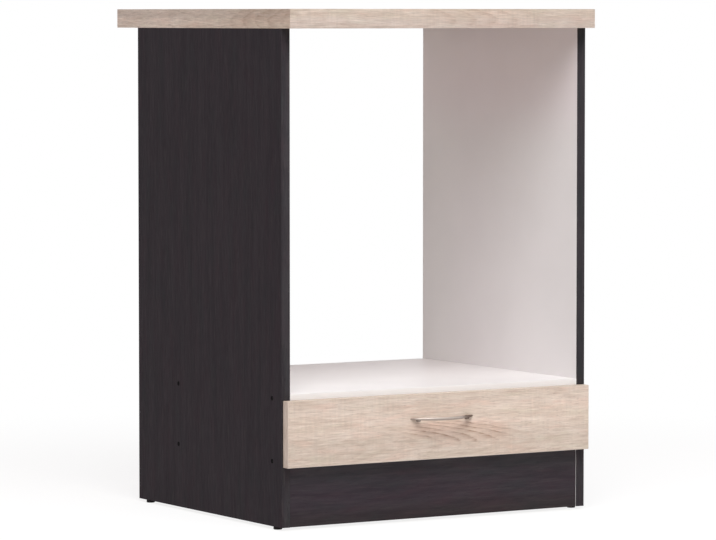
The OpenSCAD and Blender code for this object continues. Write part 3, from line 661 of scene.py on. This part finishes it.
def sawn_oak(name, grain, heart, marked, figure, light=1.0, ring_width=5.2 * MM, depth=0.36, tones=()):
    """Light oak decor with rough sawn fibres, sandy and pinkish patches, and arches strongest round marked.
    depth is how strongly the fibres show. light is a gain on the whole colour, which differs between the
    copies of this one decor: painted light and shade."""
    oak = Finish(name)
    wood = oak.timber(grain, heart, ring_width, 5 * MM, marked)
    colour = oak.traded(wood["Bands"], srgb(210, 191, 175), srgb(223, 206, 192))
    colour = oak.washed(colour, wood["Tint"], 0.52, 0.72, 0.38, srgb(224, 192, 175))
    colour = oak.washed(colour, wood["Tint"], 0.48, 0.3, 0.35, srgb(214, 204, 184))
    colour = oak.washed(colour, wood["Streaks"], 0.5, 0.72, 0.5, srgb(190, 165, 148))
    colour = oak.washed(colour, wood["Streaks"], 0.48, 0.28, 0.5, srgb(236, 222, 210))
    # Round marked the colour takes a pinkish brown wash; on the drawer front this wash is in part painted
    # shadow of the handle.
    colour = oak.drawn(colour, wood["Figure"], 0.45 * figure, srgb(212, 182, 165))
    arches = oak.math("MULTIPLY_ADD", wood["Figure"], 0.66 * figure, 0.12)
    colour = oak.toned(oak.drawn(colour, wood["Rings"], arches, srgb(166, 130, 109)), tones)
    shade = oak.math("MULTIPLY_ADD", wood["Fibres"], depth * light, (1 - depth / 2) * light)
    shade = oak.math("MULTIPLY_ADD", wood["Saw Marks"], 0.22, shade)
    colour = oak.drawn(oak.vector("SCALE", colour, Scale=shade), wood["Pores"], 0.4, srgb(150, 120, 100))
    relief = oak.math("SUBTRACT", oak.math("ADD", wood["Fibres"], wood["Saw Marks"]), wood["Pores"])
    return oak.done(colour, relief, 0.12 * MM, 0.5, Roughness=oak.step(wood["Fibres"], 0.3, 0.7, 0.62, 0.5))


def dark_wood(name, grain, light=1.0, depth=0.5, tones=()):
    """Near black brown laminate printed with a fine straight grain, faintly purple and in places greenish.
    depth is how strongly the grain shows. light is a gain on the whole colour, which differs between the
    copies of this one decor: painted light and shade."""
    dark = Finish(name, Specular_IOR_Level=0.05)
    wood = dark.timber(grain, (0.1, 0.5, 0.4), 9 * MM, 4 * MM)
    colour = dark.traded(wood["Bands"], srgb(46, 40, 45), srgb(54, 47, 52))
    colour = dark.washed(colour, wood["Tint"], 0.5, 0.75, 0.5, srgb(56, 43, 49))
    colour = dark.washed(colour, wood["Tint"], 0.5, 0.25, 0.5, srgb(45, 45, 48))
    colour = dark.drawn(colour, wood["Rings"], 0.4 * depth, srgb(36, 31, 33))
    colour = dark.washed(colour, wood["Streaks"], 0.5, 0.75, depth, srgb(63, 56, 58))
    shade = dark.math("MULTIPLY_ADD", wood["Fibres"], depth * light, (1 - depth / 2) * light)
    colour = dark.vector("SCALE", colour, Scale=shade)
    colour = dark.toned(dark.drawn(colour, wood["Pores"], depth, srgb(26, 22, 23)), tones)
    relief = dark.math("SUBTRACT", wood["Fibres"], wood["Pores"])
    return dark.done(colour, relief, 0.08 * MM, 0.5, Roughness=dark.step(wood["Fibres"], 0.3, 0.7, 0.6, 0.5))


def pale_wood(name, grain, light, dark, ring_width):
    """Plain planed wood of blocks and dowels."""
    pale = Finish(name, Roughness=0.6)
    wood = pale.timber(grain, (0.2, 0.1, -0.03), ring_width, 3 * MM)
    colour = pale.drawn(light, wood["Rings"], 0.6, dark)
    colour = pale.washed(colour, wood["Fibres"], 0.4, 0.8, 0.3, dark)
    return pale.done(colour, wood["Fibres"], 0.1 * MM, 0.5)


def coated(name, base, shade, roughness, cloud=0.12, grit=0.7 * MM, specular=0.5, tones=()):
    """A made surface: two near colours that trade places over centimetres, and a fine even relief."""
    coat = Finish(name, Specular_IOR_Level=specular)
    play = coat.surface(cloud, grit)
    colour = coat.toned(coat.traded(play["Cloud"], base, shade), tones)
    return coat.done(colour, play["Grit"], 0.02 * MM, 0.6,
                     Roughness=coat.step(play["Grit"], 0.3, 0.7, roughness - 0.05, roughness + 0.06))


def bright_metal(name, base, shade, roughness):
    """Plated steel with faint hairlines."""
    metal = Finish(name, Metallic=1.0)
    play = metal.surface(9 * MM, 0.25 * MM)
    colour = metal.drawn(metal.traded(play["Cloud"], base, shade), play["Hairlines"], 0.15, shade)
    return metal.done(colour, play["Hairlines"], 0.004 * MM, 0.4,
                      Roughness=metal.step(play["Hairlines"], 0.0, 1.0, roughness, roughness + 0.14))


def handle_metal():
    """Satin nickel, light brownish grey, with painted shade under the bar and painted dark reflection
    towards its ends, stronger at the right; there the colour turns dark brown grey and the roughness rises a
    little.
    """
    satin = Finish("satin nickel", Metallic=1.0)
    play = satin.surface(14 * MM, 0.3 * MM)
    split = satin.split(satin.place)
    # Painted dark reflection towards the ends and painted shade under the bar
    right_end = satin.step(split[X], 20 * MM, 44 * MM)
    left_end = satin.step(split[X], -46 * MM, -60 * MM, 0.0, 0.6)
    under = satin.step(split[Z], BAR_HEIGHT + 1.6 * MM, BAR_HEIGHT - 2.4 * MM, 0.0, 0.6)
    shade_and_reflection_mask = satin.math("MAXIMUM", satin.math("MAXIMUM", left_end, right_end), under)
    painted_shade_and_reflection = satin.math("MULTIPLY", shade_and_reflection_mask, satin.step(play["Cloud"], 0.2, 0.6, 0.75, 1.0))
    bright = satin.blend(play["Cloud"], srgb(194, 182, 174), srgb(181, 169, 161))
    roughness = satin.math("MULTIPLY_ADD", play["Hairlines"], 0.12, satin.step(painted_shade_and_reflection, 0, 1, 0.44, 0.5))
    return satin.done(satin.blend(painted_shade_and_reflection, bright, srgb(116, 101, 92)), play["Hairlines"], 0.004 * MM, 0.4,
                      Roughness=roughness)


def raw_chipboard():
    """The sawn edge of chipboard: flat chips of several browns, with dark gaps."""
    board = Finish("raw chipboard", Roughness=0.85)
    wave = board.noise(board.place, 90, detail=2, output="Color")
    bent = board.vector("ADD", board.place, board.vector("MULTIPLY", wave, (0.004, 0.004, 0.004)))
    cells = board.vector("MULTIPLY", bent, (260, 260, 620))
    chips = board.node("TexVoronoi", Vector=cells, Scale=1.0).outputs["Color"]
    gaps = board.node("TexVoronoi", options={"feature": "DISTANCE_TO_EDGE"}, Vector=cells, Scale=1.0)
    gap = gaps.outputs["Distance"]
    pick = board.node("SeparateColor", chips).outputs[0]
    colour = board.blend(board.step(pick, 0.1, 0.9), srgb(176, 143, 104), srgb(214, 186, 148))
    colour = board.washed(colour, board.noise(board.place, 700), 0.55, 0.75, 0.5, srgb(130, 96, 64))
    colour = board.washed(colour, gap, 0.09, 0.0, 0.65, srgb(86, 62, 42))
    return board.done(colour, board.math("ADD", board.step(gap, 0.0, 0.12), pick), 0.25 * MM, 0.6)


def backing_paper():
    """The pale brown balancing paper under the worktop, with the chips showing through faintly."""
    paper = Finish("backing paper", Roughness=0.7)
    play = paper.surface(0.09, 1.6 * MM)
    colour = paper.traded(play["Cloud"], srgb(176, 152, 122), srgb(188, 166, 137))
    colour = paper.washed(colour, play["Grit"], 0.5, 0.75, 0.25, srgb(150, 124, 95))
    return paper.done(colour, play["Grit"], 0.05 * MM, 0.4)


def hardboard():
    """Brown pressed fibre with the print of a wire screen: a sine along X times a sine along Z."""
    board = Finish("hardboard", Roughness=0.75)
    play = board.surface(0.05, 1.1 * MM)
    colour = board.traded(play["Cloud"], srgb(138, 100, 67), srgb(150, 111, 75))
    colour = board.washed(colour, play["Grit"], 0.5, 0.8, 0.5, srgb(98, 68, 43))
    split, wires = board.split(board.place), 2 * pi / WIRE_PITCH
    screen = [board.math("SINE", board.math("MULTIPLY", split[axis], wires)) for axis in (X, Z)]
    weave = board.math("MULTIPLY", *screen)
    colour = board.washed(colour, weave, 0.0, 1.0, 0.2, srgb(90, 62, 40))
    return board.done(colour, board.math("ADD", weave, play["Grit"]), 0.1 * MM, 0.6)


def clear_plastic():
    """Soft clear plastic of the bumpers, a little milky."""
    clear = Finish("clear plastic", Transmission_Weight=0.6, IOR=1.49)
    play = clear.surface(6 * MM, 0.5 * MM)
    clear.feed_all(clear.shader, Roughness=clear.step(play["Grit"], 0.3, 0.7, 0.12, 0.25),
                   Base_Color=clear.blend(play["Cloud"], srgb(226, 230, 228), srgb(240, 242, 240)))
    return clear.material


# Where the hearts of the oak decor lie and where its arches are marked strongly, along each grain
# The drawer front's marked place lies just under the handle, so the pinkish brown wash of its arches there
# is part figure and part painted shadow of the handle.
DRAWER_HEART, DRAWER_FIGURE_AND_HANDLE_SHADOW = (0.012, -0.2545, 0.129), (0.034, -0.2815, 0.150)
WORKTOP_HEART, WORKTOP_FIGURE = (0.10, -0.03, 0.826), (0.16, -0.05, 0.86)
EDGE_HEART, EDGE_FIGURE = (0.04, -0.262, 0.838), (0.07, -0.2935, 0.845)
END_HEART, END_FIGURE = (0.08, 0.27, 0.836), (-0.19, 0.30, 0.842)

OAK_FRONT = sawn_oak("oak drawer front", ALONG_X, DRAWER_HEART, DRAWER_FIGURE_AND_HANDLE_SHADOW, 1.0, light=1.12,
                     ring_width=4.6 * MM,
                     tones=[(Z, 0.138, 0.164, (1.12, 1.115, 1.12)), (Z, 0.184, 0.204, (0.94, 0.94, 0.94)),
                            (X, 0.16, -0.20, (0.93, 0.93, 0.93))])
OAK_TOP = sawn_oak("oak worktop", ALONG_X, WORKTOP_HEART, WORKTOP_FIGURE, 0.35, light=0.93)
OAK_BAND = sawn_oak("oak band", ALONG_X, EDGE_HEART, EDGE_FIGURE, 0.35, light=0.91, depth=0.6,
                    tones=[(Z, 0.846, 0.838, (1.06, 1.07, 1.11))])
OAK_BAND_DEEP = sawn_oak("oak band of the ends", ALONG_Y, END_HEART, END_FIGURE, 0.38, light=1.07,
                         depth=0.65, tones=[(Z, 0.846, 0.838, (1.16, 1.17, 1.17)),
                                            (Y, 0.24, -0.27, (0.72, 0.70, 0.67))])
OAK_BAND_UPRIGHT = sawn_oak("oak band upright", ALONG_Z, END_HEART, END_FIGURE, 0.4)
# The bands' milled front and back edges are paler: the core of a milled band, drawn light enough to be also
# a painted highlight along the drawer front's edges.
BAND_CORE_AND_HIGHLIGHT = coated("milled band edge and painted highlight", srgb(236, 222, 210), srgb(228, 212, 198), 0.5, cloud=0.03)
DARK_UPRIGHT = dark_wood("dark laminate upright", ALONG_Z)
# The plinth's copy is painted light: its gain is far above the side panels', it is lighter at the top, where
# the drawer front shades it, darker at the bottom, where the floor's bounce lights it, and lighter towards
# the right end.
DARK_LEVEL_PAINTED_LIGHT = dark_wood("dark laminate level with painted light", ALONG_X, light=1.66, depth=0.27,
                       tones=[(Z, 0.055, 0.096, (1.24, 1.42, 1.32)), (Z, 0.045, 0.008, (0.86, 0.89, 0.80)),
                              (X, -0.20, 0.25, (1.08, 1.10, 1.07))])
DARK_BAND = dark_wood("dark edge band", ALONG_Z, light=1.56, tones=[(*EVERYWHERE, (1, 1.14, 1.04))])
MELAMINE = srgb(244, 241, 241), srgb(241, 238, 238), 0.45
WHITE = coated("white melamine", *MELAMINE)
# The inner facings are the white melamine with painted shade and light: pinker towards the top, in the
# worktop's shade, and lighter towards the back.
WHITE_FACING_PAINTED_LIGHT_AND_SHADE = coated("white facing", *MELAMINE, tones=[(Z, 0.60, 0.74, (1.0, 0.95, 0.97)),
                                                        (Y, 0.05, 0.21, (1.03, 1.05, 1.03))])
WHITE_BAND = coated("white edge band", srgb(252, 250, 249), srgb(250, 247, 246), 0.35, grit=1.2 * MM)
CHIPBOARD = raw_chipboard()
PAPER = backing_paper()
HARDBOARD = hardboard()
BEECH = pale_wood("beech", ALONG_X, srgb(222, 190, 148), srgb(196, 156, 112), 2.2 * MM)
SPRUCE = pale_wood("spruce", ALONG_Z, srgb(228, 202, 158), srgb(196, 156, 104), 3.5 * MM)
ZINC = bright_metal("bright zinc", srgb(206, 209, 214), srgb(178, 183, 190), 0.28)
YELLOW_ZINC = bright_metal("yellow zinc", srgb(214, 194, 138), srgb(196, 178, 150), 0.3)
NICKEL = handle_metal()
STEEL_WHITE = coated("white epoxy coat", srgb(232, 232, 228), srgb(226, 226, 222), 0.35, grit=1.5 * MM)
NYLON = coated("nylon", srgb(238, 238, 232), srgb(228, 228, 220), 0.4, cloud=5 * MM, grit=0.4 * MM)
BLACK = coated("black plastic", srgb(19, 17, 18), srgb(26, 24, 25), 0.5, 6 * MM, 0.35 * MM, specular=0.15)
CAP = coated("cap plastic", srgb(14, 12, 13), srgb(18, 16, 17), 0.6, 6 * MM, 0.35 * MM, specular=0.03)
CLEAR = clear_plastic()


# Carcass
def dress_side_panels():
    for side in SIDES:
        add_softened(f"panel_{side}", f"side_panel_{side}", [DARK_UPRIGHT, CHIPBOARD], "carcass",
                     raw=[BACKWARDS, DOWNWARDS, UPWARDS])
        add_slab(f"panel_band_{side}", f"side_edge_band_{side}", DARK_BAND)
    dress(WHITE_FACING_PAINTED_LIGHT_AND_SHADE, "side_facing_left", "side_facing_right")


def dress_cross_boards():
    for node in ("oven_shelf", "bottom_panel"):
        add_softened(node.replace("oven_", "board_"), node, [WHITE, CHIPBOARD], "carcass",
                     raw=[BACKWARDS])
    for node in ("shelf_edge_band", "bottom_edge_band"):
        add_slab(node.replace("edge_", "front_"), node, WHITE_BAND)


def dress_plinth():
    add_softened("plinth", "plinth_board", [DARK_LEVEL_PAINTED_LIGHT, CHIPBOARD], "carcass",
                 raw=[DOWNWARDS])
    add_softened("corner_blocks", "plinth_blocks", [SPRUCE], "carcass", edge=BLOCK_EDGE)
    dress(YELLOW_ZINC, "plinth_block_screws")


def dress_worktop():
    add_softened("worktop_board", "worktop_core", [PAPER, CHIPBOARD], "carcass",
                 raw=[BACKWARDS])
    add_slab("worktop_skin", "worktop_laminate", OAK_TOP)
    add_slab("worktop_front", "worktop_front_band", OAK_BAND)
    ends = end_slabs(*box("worktop_end_bands"), X, size("worktop_front_band")[Y])
    add_piece("worktop_ends", joined(ends), [OAK_BAND_DEEP], "carcass",
              "worktop_end_bands")


def dress_back_sheet():
    add_softened("rear_sheet", "back_panel", [WHITE, HARDBOARD], "carcass", raw=[BACKWARDS])
    node = "back_panel_nails"
    under_head = box(node)[1][Y] - NAIL_RISE
    profile = millimetres((0.2, -20), (0.9, -18), (0.9, 0), (2, 0))
    profile += arc(1.6 * MM, 0.15 * MM, 0.4 * MM, 0, 80) + millimetres((0.2, 0.65))
    nails = [
        turned(profile, Y, 1, (x, under_head, z), steps=20)
        for x in spaced(node, X, NAIL_HEAD, 5) for z in spaced(node, Z, NAIL_HEAD)
    ]
    add_piece("rear_nails", joined(nails), [ZINC], "carcass", node)


def dress_caps():
    """A cap is a flat disc with a raised rim and a shallow dish, on a stem in the screw's socket."""
    profile = millimetres((1.5, -2.9), (1.5, -0.9), (3.9, -0.9), (3.9, -0.15))
    profile += arc(CAP_RADIUS - CAP_ROUND, -CAP_ROUND, CAP_ROUND, 0, 90)
    profile += millimetres((3.2, -0.05), (2.9, -0.16), (1.6, -0.2), (0.3, -0.16))
    for side, sign in SIDES.items():
        node = f"screw_caps_{side}"
        outer = sign * side_reach(node)[1]
        caps = [
            turned(profile, X, sign, (outer, y, z), steps=40)
            for y in spaced(node, Y, CAP_PLACE) for z in spaced(node, Z, CAP_PLACE)
        ]
        add_piece(f"caps_{side}", joined(caps), [CAP], "carcass", node)


def dress_glides():
    """A glide is a turned foot: a rounded sole with a dimple for its nail, a waist and a collar."""
    dimple = millimetres((0.3, 1.9), (2.2, 1.8), (2.6, 0.1), (2.9, 0))
    for end, side in product(ENDS, SIDES):
        node = f"glide_{end}_{side}"
        radius, tall = size(node)[X] / 2, size(node)[Z]
        waist = radius - GLIDE_WAIST
        profile = dimple + arc(radius - GLIDE_ROUND, GLIDE_ROUND, GLIDE_ROUND, -90, 0)
        profile += [(radius, tall - 1.6 * MM), (waist, tall - 1.4 * MM), (waist, tall - 1.0 * MM),
                    (radius, tall - 0.8 * MM), (radius, tall)]
        foot = turned(profile, Z, 1, (*middle(node)[:Z], box(node)[0][Z]))
        add_piece(f"foot_{end}_{side}", foot, [BLACK], "carcass", node)


# Drawer
def dress_drawer_front():
    add_softened("front_board", "drawer_front", [OAK_FRONT], "drawer", edge=LAMINATE_EDGE)
    low, high = box("drawer_front_bands")
    inset = np.array([0, 0, box("drawer_front")[0][Z] - low[Z]])
    bands = end_slabs(low, high, Z, inset[Z]) + end_slabs(low + inset, high - inset, X, inset[Z])
    add_piece("front_bands", joined(bands), [OAK_BAND_UPRIGHT, BAND_CORE_AND_HIGHLIGHT], "drawer",
              "drawer_front_bands", raw=[FORWARDS, BACKWARDS], near=0.5)


def dress_drawer_box():
    for side in SIDES:
        add_softened(f"box_side_{side}", f"drawer_side_{side}", [WHITE, CHIPBOARD], "drawer",
                     raw=[BACKWARDS])
    add_softened("box_back", "drawer_back", [WHITE, CHIPBOARD], "drawer", raw=[UPWARDS])
    add_softened("box_floor", "drawer_bottom", [WHITE, HARDBOARD], "drawer",
                 raw=[DOWNWARDS])
    bands = end_slabs(*box("drawer_side_bands"), X, size("drawer_side_right")[X])
    add_piece("box_bands", joined(bands), [WHITE_BAND], "drawer", "drawer_side_bands")


def dress_handle():
    """The bar is a superellipse carried along an arc in the level plane. Its height falls with the cube of
    the way from the middle to the tips, and the last ring at each end slides along the arc's tangent into
    the plane of the drawer front. Two short posts stand behind it."""
    low, high = box("drawer_handle")
    reach, face = (high - low)[Y], high[Y]
    outer = (BAR_HALF**2 + reach**2) / (2 * reach)
    centre = np.array([0, low[Y] + outer, BAR_HEIGHT])
    spine = outer - BAR_THICK / 2
    widest = np.arccos((outer - reach) / outer)
    angle = np.concatenate([[-widest], np.linspace(-widest, widest, BAR_RINGS)[2:-2], [widest]])
    outwards = np.stack([np.sin(angle), -np.cos(angle), 0 * angle], -1)
    up = np.broadcast_to([0.0, 0.0, 1.0], outwards.shape)
    section = superellipse(BAR_THICK / 2, BAR_HIGH / 2, BAR_ROUNDING)
    bar = swept(section, centre + spine * outwards, outwards, up)
    rings = bar.points.reshape(len(angle), -1, 3)
    taper = 1 - BAR_TAPER * abs(angle / widest) ** 3
    rings[:, :, Z] = BAR_HEIGHT + (rings[:, :, Z] - BAR_HEIGHT) * taper[:, None]
    for end in (0, -1):
        tangent = np.array([np.cos(angle[end]), np.sin(angle[end]), 0])
        rings[end] += ((face - rings[end][:, Y]) / tangent[Y])[:, None] * tangent
    deep = face - (centre[Y] - np.sqrt((spine - BAR_THICK / 4) ** 2 - POST_PLACE**2))
    foot = POST_RADIUS + POST_FLANGE
    profile = [(foot, 0), (foot, POST_FOOT), (POST_RADIUS, POST_FOOT + POST_FLANGE),
               (POST_RADIUS * 0.9, deep / 2), (POST_RADIUS * 0.94, deep)]
    posts = [turned(profile, Y, -1, (x, face, low[Z] + foot), steps=32) for x in (-POST_PLACE, POST_PLACE)]
    add_piece("bow_handle", joined([bar] + posts), [NICKEL], "drawer", "drawer_handle")


def dress_handle_screws():
    inner_face = box("drawer_front")[1][Y]
    screws = [
        cross_head(HANDLE_SCREW_HEAD, *HANDLE_SCREW, Y, 1, (x, inner_face, middle("handle_screws")[Z]))
        for x in (-POST_PLACE, POST_PLACE)
    ]
    add_piece("handle_bolts", joined(screws), [ZINC], "drawer", "handle_screws")


def dress_bumpers():
    """A bumper is a disc whose upper seven tenths are rounded to a crown."""
    node, radius = "drawer_bumpers", BUMPER_RADIUS
    wall, crown = 0.3 * size(node)[Y], 0.7 * size(node)[Y]
    profile = [(radius, 0), (radius, wall)] + arc(radius - crown, wall, crown, 0, 85)
    pads = [
        turned(profile, Y, 1, (x, box(node)[0][Y], z), steps=32)
        for x in spaced(node, X, radius) for z in spaced(node, Z, radius)
    ]
    add_piece("soft_stops", joined(pads), [CLEAR], "drawer", node)


def dress_cam_locks():
    """A cam lock shows a disc with a rim and a cross recess on the inner face of the drawer side."""
    radius, inner_face = size("cam_locks")[Z] / 2, side_reach("drawer_side_right")[0]
    deep = side_reach("cam_locks")[1] - inner_face
    locks = [
        cross_head(radius * 0.96, CAM_RISE, radius * 0.9, deep, X, -sign,
                   (sign * (inner_face + CAM_RISE), *middle("cam_locks")[Y:]))
        for sign in SIDES.values()
    ]
    add_piece("cam_discs", joined(locks), [ZINC], "drawer", "cam_locks")


# Runners
def dress_cabinet_runners():
    """A channel: an upper flange that starts behind the front roller, a web, a floor and a lip."""
    for side, sign in SIDES.items():
        node = f"cabinet_runner_{side}"
        (low, high), (inner, outer) = box(node), side_reach(node)
        web, floor = outer - STEEL / 2, low[Z] + STEEL / 2
        lip, ceiling = inner + STEEL / 2, high[Z] - STEEL / 2
        lower = [(lip, low[Z] + LIP_RISE), (lip, floor), (web, floor)]
        flanged = [*lower, (web, ceiling), (outer - UPPER_FLANGE, ceiling)]
        cut = low[Y] + FLANGE_CUT
        sheets = [folded_sheet([*lower, (web, high[Z])], low[Y], cut, sign),
                  folded_sheet(flanged, cut, high[Y], sign)]
        add_piece(f"channel_{side}", joined(sheets), [STEEL_WHITE], "carcass", node)


def dress_drawer_runners():
    """A foot flange under the drawer side, a web and a flange that rolls on the front roller."""
    for side, sign in SIDES.items():
        node = f"drawer_runner_{side}"
        (low, high), (inner, outer) = box(node), side_reach(node)
        web, foot, top = inner + FOOT_FLANGE + STEEL / 2, low[Z] + STEEL / 2, high[Z] - STEEL / 2
        rail = folded_sheet([(inner, foot), (web, foot), (web, top), (outer, top)], low[Y], high[Y], sign)
        add_piece(f"rail_{side}", rail, [STEEL_WHITE], "drawer", node)


def dress_rollers():
    """A roller has a crowned tread, rounded rims and a ring groove on each face."""
    shoulder = ROLLER_RADIUS - ROLLER_CROWN
    tread = [(shoulder, ROLLER_RIM), (ROLLER_RADIUS, ROLLER_WIDE / 2), (shoulder, ROLLER_WIDE - ROLLER_RIM)]
    groove = millimetres((-1, 0), (-0.5, 0.6), (0.5, 0.6), (1, 0))
    left_face = [(ROLLER_BORE, 0), *((ROLLER_GROOVE + across, deep) for across, deep in groove),
                 (ROLLER_RADIUS - ROLLER_RIM, 0)]
    right_face = [(radius, ROLLER_WIDE - deep) for radius, deep in left_face[::-1]]
    for end, side in product(ENDS, SIDES):
        node = f"{end}_roller_{side}"
        place = (box(node)[0][X], *middle(node)[Y:])
        wheel = turned(left_face + tread + right_face, X, 1, place, steps=64, bore=True)
        add_piece(f"wheel_{end}_{side}", wheel, [NYLON], node, node)


def dress_runner_screws(node, body, face, inwards):
    """Three screws a side, whose heads lie on a face at that distance from the middle plane."""
    radius = size(node)[Z] / 2
    screws = [
        cross_head(radius, *RUNNER_SCREW, X, -inwards * sign, (sign * face, y, middle(node)[Z]))
        for sign in SIDES.values() for y in spaced(node, Y, radius, 3)
    ]
    add_piece(node.replace("_screws", "_bolts"), joined(screws), [ZINC], body, node)


def dress_hidden_fasteners():
    """Fasteners inside the boards keep their own shape."""
    dress(BEECH, "worktop_dowels", "shelf_dowels", "bottom_dowels", "drawer_dowels")
    dress(ZINC, "joint_screws_left", "joint_screws_right", "glide_nails", "front_roller_axles")
    dress(ZINC, "drawer_bottom_nails", "rear_roller_axles", "drawer_back_screws")
    dress(YELLOW_ZINC, "cam_bolts")


# Studio
def grey(shade):
    return (shade, shade, shade, 1)


def add_floor():
    """A white floor. To the camera it glows a little, so that it is white and still takes the soft
    shadow, and far away it is all glow, which hides its edge."""
    across, along = FLOOR_HALF * np.array([[-1, 1, 1, -1], [-1, -1, 1, 1]])
    mesh = bpy.data.meshes.new("floor")
    mesh.from_pydata([(x, y, -FLOOR_DROP) for x, y in zip(across, along)], [], [(0, 1, 2, 3)])
    material = bpy.data.materials.new("floor")
    material.use_nodes = True
    material.node_tree.nodes.clear()
    graph = Graph(material.node_tree)
    lit, shown = [graph.node("BsdfDiffuse", grey(shade)).outputs[0] for shade in (FLOOR_LIT, FLOOR_SHOWN)]
    glow, full_glow = [graph.node("Emission", grey(1), strength).outputs[0] for strength in (FLOOR_GLOW, 1)]
    near = graph.node("AddShader", shown, glow).outputs[0]
    far = graph.step(graph.vector("LENGTH", graph.node("TexCoord").outputs["Object"]), *FLOOR_FADE)
    graph.light_and_look(lit, graph.node("MixShader", far, near, full_glow).outputs[0], "OutputMaterial")
    mesh.materials.append(material)
    floor = bpy.data.objects.new("floor", mesh)
    bpy.context.scene.collection.objects.link(floor)


def add_world():
    """White to the camera and in reflections. As a light it is faintly warm from behind and weak from the
    front, and both fall off as the cosine of the angle."""
    world = bpy.data.worlds.new("studio")
    world.use_nodes = True
    world.node_tree.nodes.clear()
    bpy.context.scene.world = world
    graph = Graph(world.node_tree)
    back = graph.split(graph.node("TexCoord").outputs["Generated"])[Y]
    level = graph.math("MAXIMUM", back, graph.math("MULTIPLY", back, -WORLD_FRONT))
    tint = graph.blend(graph.step(back, -0.1, 0.1), grey(1), WORLD_TINT)
    light = graph.node("Background", tint, level).outputs[0]
    white = graph.node("Background", grey(1), 1).outputs[0]
    graph.light_and_look(light, white, "OutputWorld")


def add_lamps():
    for name, place, power in LAMPS:
        data = bpy.data.lights.new(name, "AREA")
        data.shape = "DISK"
        data.size = LAMP_SIZE
        data.energy = power
        lamp = bpy.data.objects.new(name, data)
        lamp.location = place
        lamp.rotation_euler = (Vector(LAMP_AIM) - Vector(place)).to_track_quat("-Z", "Y").to_euler()
        bpy.context.scene.collection.objects.link(lamp)


add_camera()
dress_side_panels()
dress_cross_boards()
dress_plinth()
dress_worktop()
dress_back_sheet()
dress_caps()
dress_glides()
dress_drawer_front()
dress_drawer_box()
dress_handle()
dress_handle_screws()
dress_bumpers()
dress_cam_locks()
dress_cabinet_runners()
dress_drawer_runners()
dress_rollers()
dress_runner_screws("cabinet_runner_screws", "carcass", side_reach("cabinet_runner_right")[1] - STEEL, 1)
dress_runner_screws("drawer_runner_screws", "drawer", side_reach("drawer_side_right")[1] + STEEL, -1)
dress_hidden_fasteners()
add_floor()
add_world()
add_lamps()
bpy.context.scene.view_settings.view_transform = "Standard"
